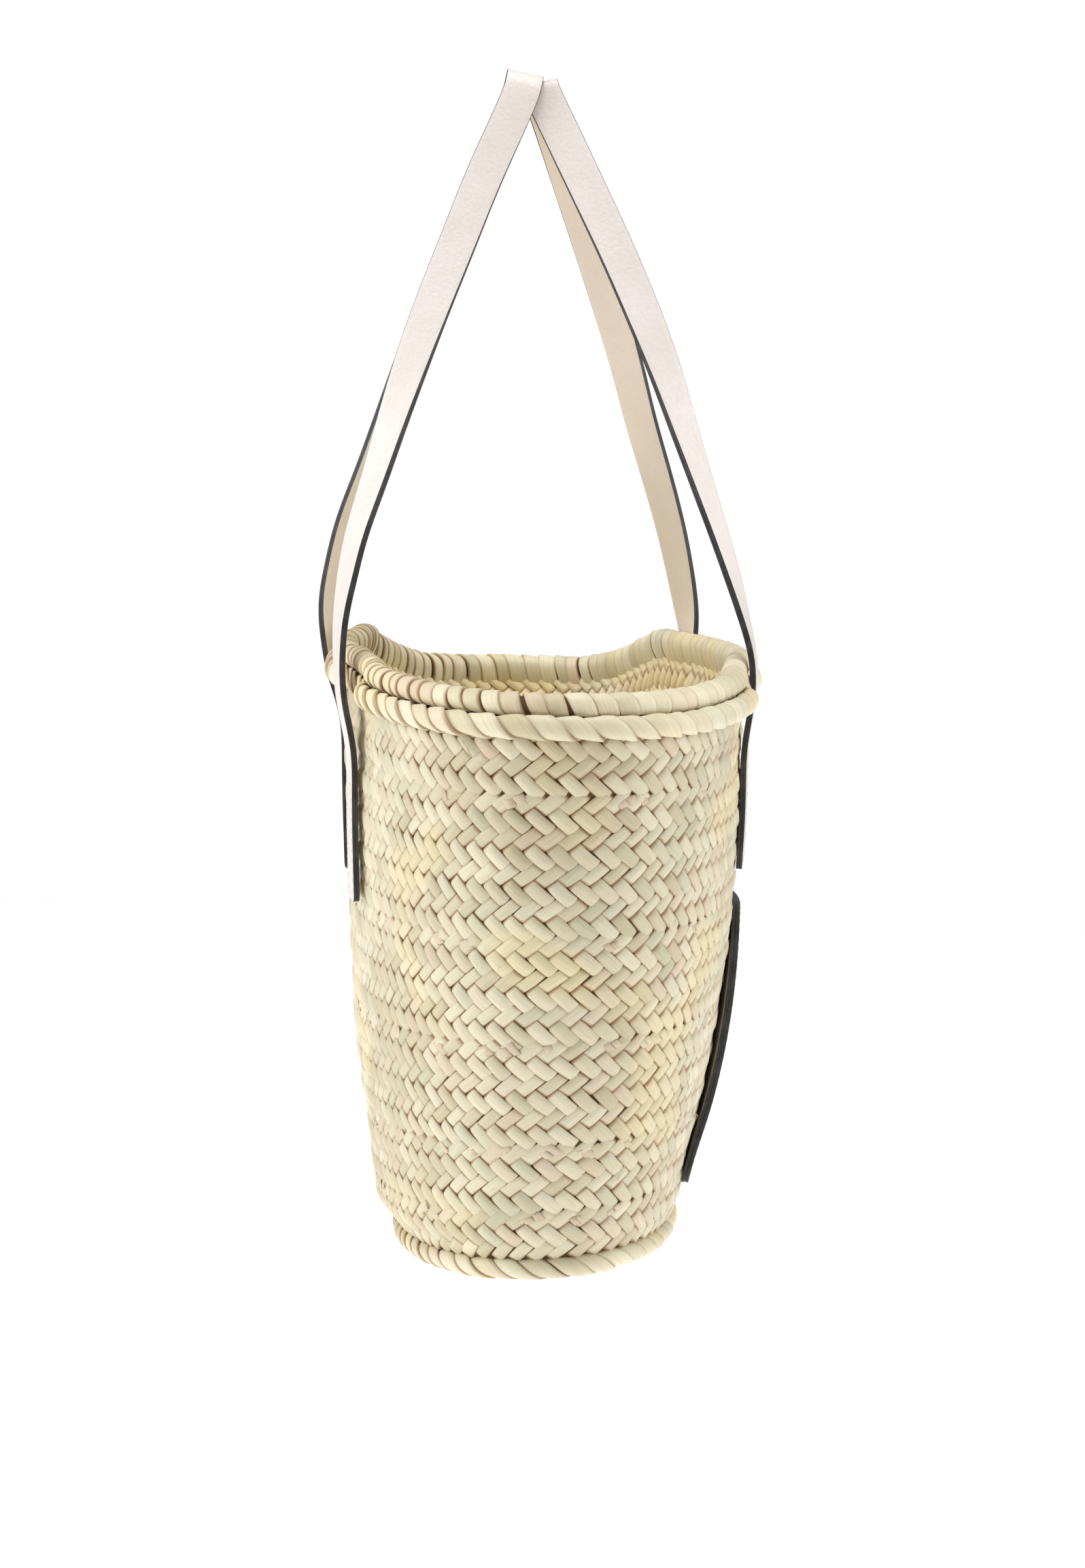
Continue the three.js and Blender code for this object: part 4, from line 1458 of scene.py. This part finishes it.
class BAG_OT_patch(bpy.types.Operator):
    """Make the bare leather patch on the front, with its backing and stitches"""
    bl_idname = "bag.patch"
    bl_label = "Patch"
    bl_options = {"REGISTER", "UNDO"}

    def execute(self, context):
        leather, palette = settings("leather"), settings("palette")
        cream, tan, paint, thread = leather_finishes(leather, palette)
        corner, rounding = leather.patch_corner, leather.edge_round
        front = PATCH_SEAT + PATCH_BACKING + SEAM
        face = patch_points(front, corner)
        outer = ribbon("patch_outer", face, PATCH_LEATHER, -1.0, rounding, cream, paint)
        settle(outer, "cream_leather", "patch_leather")
        face = patch_points(PATCH_SEAT, corner)
        thickness = PATCH_BACKING + SEAM * BACKING_FILL
        backing = ribbon("patch_back", face, thickness, -1.0, rounding * 0.8, tan, paint)
        settle(backing, "dark_backing", "patch_backing")
        grid = patch_points(front + PATCH_LEATHER, corner, leather.stitch_inset * 1.2)
        rows, columns, _ = grid.shape
        ring = grid.reshape(-1, 3)[grid_border(rows, columns)]
        spots, ahead = line_of(np.concatenate([ring, ring[:1]]), leather.stitch * STITCH_SPACING)
        normal = outward(angle_at(0.5, spots[:, 0], -1), 0.5)
        settle(stitches("patch_stitches", spots, ahead, normal, leather.stitch, thread), "cream_leather")
        return {"FINISHED"}


class BAG_OT_fibres(bpy.types.Operator):
    """Add cut leaf ends along the seams and a few loose fibres"""
    bl_idname = "bag.fibres"
    bl_label = "Leaf Ends and Fibres"
    bl_options = {"REGISTER", "UNDO"}

    def execute(self, context):
        weave, palette = settings("weave"), settings("palette")
        palm = finish_named("palm_leaf", palm_finish, palette)
        settle(seam_stubs("seam_stubs", weave, palm), "palm_weave")
        settle(loose_fibres("loose_fibres", palm), "palm_weave")
        return {"FINISHED"}


class BAG_OT_stage(bpy.types.Operator):
    """Set up the pale floor, the soft light and the camera"""
    bl_idname = "bag.stage"
    bl_label = "Stage"
    bl_options = {"REGISTER", "UNDO"}

    def execute(self, context):
        stage = settings("stage")
        self.floor(stage)
        self.light(stage)
        self.camera()
        bpy.context.scene.view_settings.view_transform = "Standard"
        return {"FINISHED"}

    def floor(self, stage):
        deselect()
        level = cad_box[0][2] - stage.floor_drop
        bpy.ops.mesh.primitive_circle_add(vertices=128, radius=stage.floor_radius, fill_type="NGON",
                                          location=(0, 0, level))
        floor = bpy.context.active_object
        floor.name = "floor"
        floor.data.materials.append(floor_finish(tuple(stage.floor_colour), stage.floor_glow))
        deselect()

    def light(self, stage):
        world = bpy.data.worlds.new("studio")
        bpy.context.scene.world = world
        world.use_nodes = True
        tree = world.node_tree
        around = tree.nodes["Background"]
        around.inputs["Color"].default_value = (1, 1, 1, 1)
        around.inputs["Strength"].default_value = stage.surround
        seen = tree.nodes.new("ShaderNodeBackground")
        seen.inputs["Color"].default_value = (1, 1, 1, 1)
        seen.inputs["Strength"].default_value = 1.0
        ray = tree.nodes.new("ShaderNodeLightPath")
        mix = tree.nodes.new("ShaderNodeMixShader")
        tree.links.new(ray.outputs["Is Camera Ray"], mix.inputs[0])
        tree.links.new(around.outputs[0], mix.inputs[1])
        tree.links.new(seen.outputs[0], mix.inputs[2])
        tree.links.new(mix.outputs[0], tree.nodes["World Output"].inputs[0])
        for name, place, size, power in (
            ("left_light", (0.0, 2.4, 0.3), 2.2, stage.left),
            ("right_light", (0.0, -2.4, 0.3), 2.2, stage.right),
            ("top_light", (-0.45, 0.0, 1.5), 1.2, stage.top),
        ):
            lamp = bpy.data.lights.new(name, "AREA")
            lamp.size = size
            lamp.energy = power
            lamp_object = bpy.data.objects.new(name, lamp)
            lamp_object.location = place
            aim = LIGHT_AIM - Vector(place)
            lamp_object.rotation_euler = aim.to_track_quat("-Z", "Y").to_euler()
            bpy.context.collection.objects.link(lamp_object)

    def camera(self):
        yaw = CAMERA_BEARING + math.atan(AIM_RIGHT_PIXELS / FOCAL_PIXELS)
        pitch = math.atan(AIM_DOWN_PIXELS / FOCAL_PIXELS)
        view = Vector((math.cos(yaw) * math.cos(pitch), -math.sin(yaw) * math.cos(pitch), -math.sin(pitch)))
        right = view.cross(Vector((0, 0, 1))).normalized()
        above = right.cross(view)
        camera = bpy.data.cameras.new("camera")
        camera.sensor_fit = "VERTICAL"
        camera.sensor_height = 36.0
        camera.lens = FOCAL_PIXELS / FRAME_HEIGHT * camera.sensor_height
        camera.clip_start = 0.01
        holder = bpy.data.objects.new("camera", camera)
        turned = Matrix((right, above, -view)).transposed().to_4x4()
        back, aside = math.cos(CAMERA_BEARING), math.sin(CAMERA_BEARING)
        place = Vector((-CAMERA_DISTANCE * back, CAMERA_DISTANCE * aside, CAMERA_LEVEL))
        holder.matrix_world = Matrix.Translation(place) @ turned
        bpy.context.collection.objects.link(holder)
        bpy.context.scene.camera = holder


class BAG_PT_panel(bpy.types.Panel):
    """Lists the steps that build the bag and their settings"""
    bl_idname = "BAG_PT_panel"
    bl_label = "Shopper Bag"
    bl_space_type = "VIEW_3D"
    bl_region_type = "UI"
    bl_category = "Shopper Bag"

    def draw(self, context):
        layout = self.layout
        for operator in STEPS:
            layout.operator(operator.bl_idname)
        for kind, group in GROUPS.items():
            box = layout.box()
            box.label(text=kind.capitalize())
            for key in group.__annotations__:
                box.prop(settings(kind), key)


GROUPS = {
    "palette": BAG_PG_palette,
    "weave": BAG_PG_weave,
    "edging": BAG_PG_edging,
    "leather": BAG_PG_leather,
    "stage": BAG_PG_stage,
}
STEPS = (BAG_OT_stage, BAG_OT_wall, BAG_OT_base, BAG_OT_edging, BAG_OT_handles, BAG_OT_patch, BAG_OT_fibres)


def register():
    for group in GROUPS.values():
        bpy.utils.register_class(group)
    for kind, group in GROUPS.items():
        setattr(bpy.types.Scene, "bag_" + kind, bpy.props.PointerProperty(type=group))
    for operator in (*STEPS, BAG_PT_panel):
        bpy.utils.register_class(operator)


def unregister():
    for operator in (BAG_PT_panel, *reversed(STEPS)):
        bpy.utils.unregister_class(operator)
    for kind, group in GROUPS.items():
        delattr(bpy.types.Scene, "bag_" + kind)
        bpy.utils.unregister_class(group)


def main():
    register()
    for operator in STEPS:
        group, name = operator.bl_idname.split(".")
        getattr(getattr(bpy.ops, group), name)()


if __name__ == "__main__":
    main()
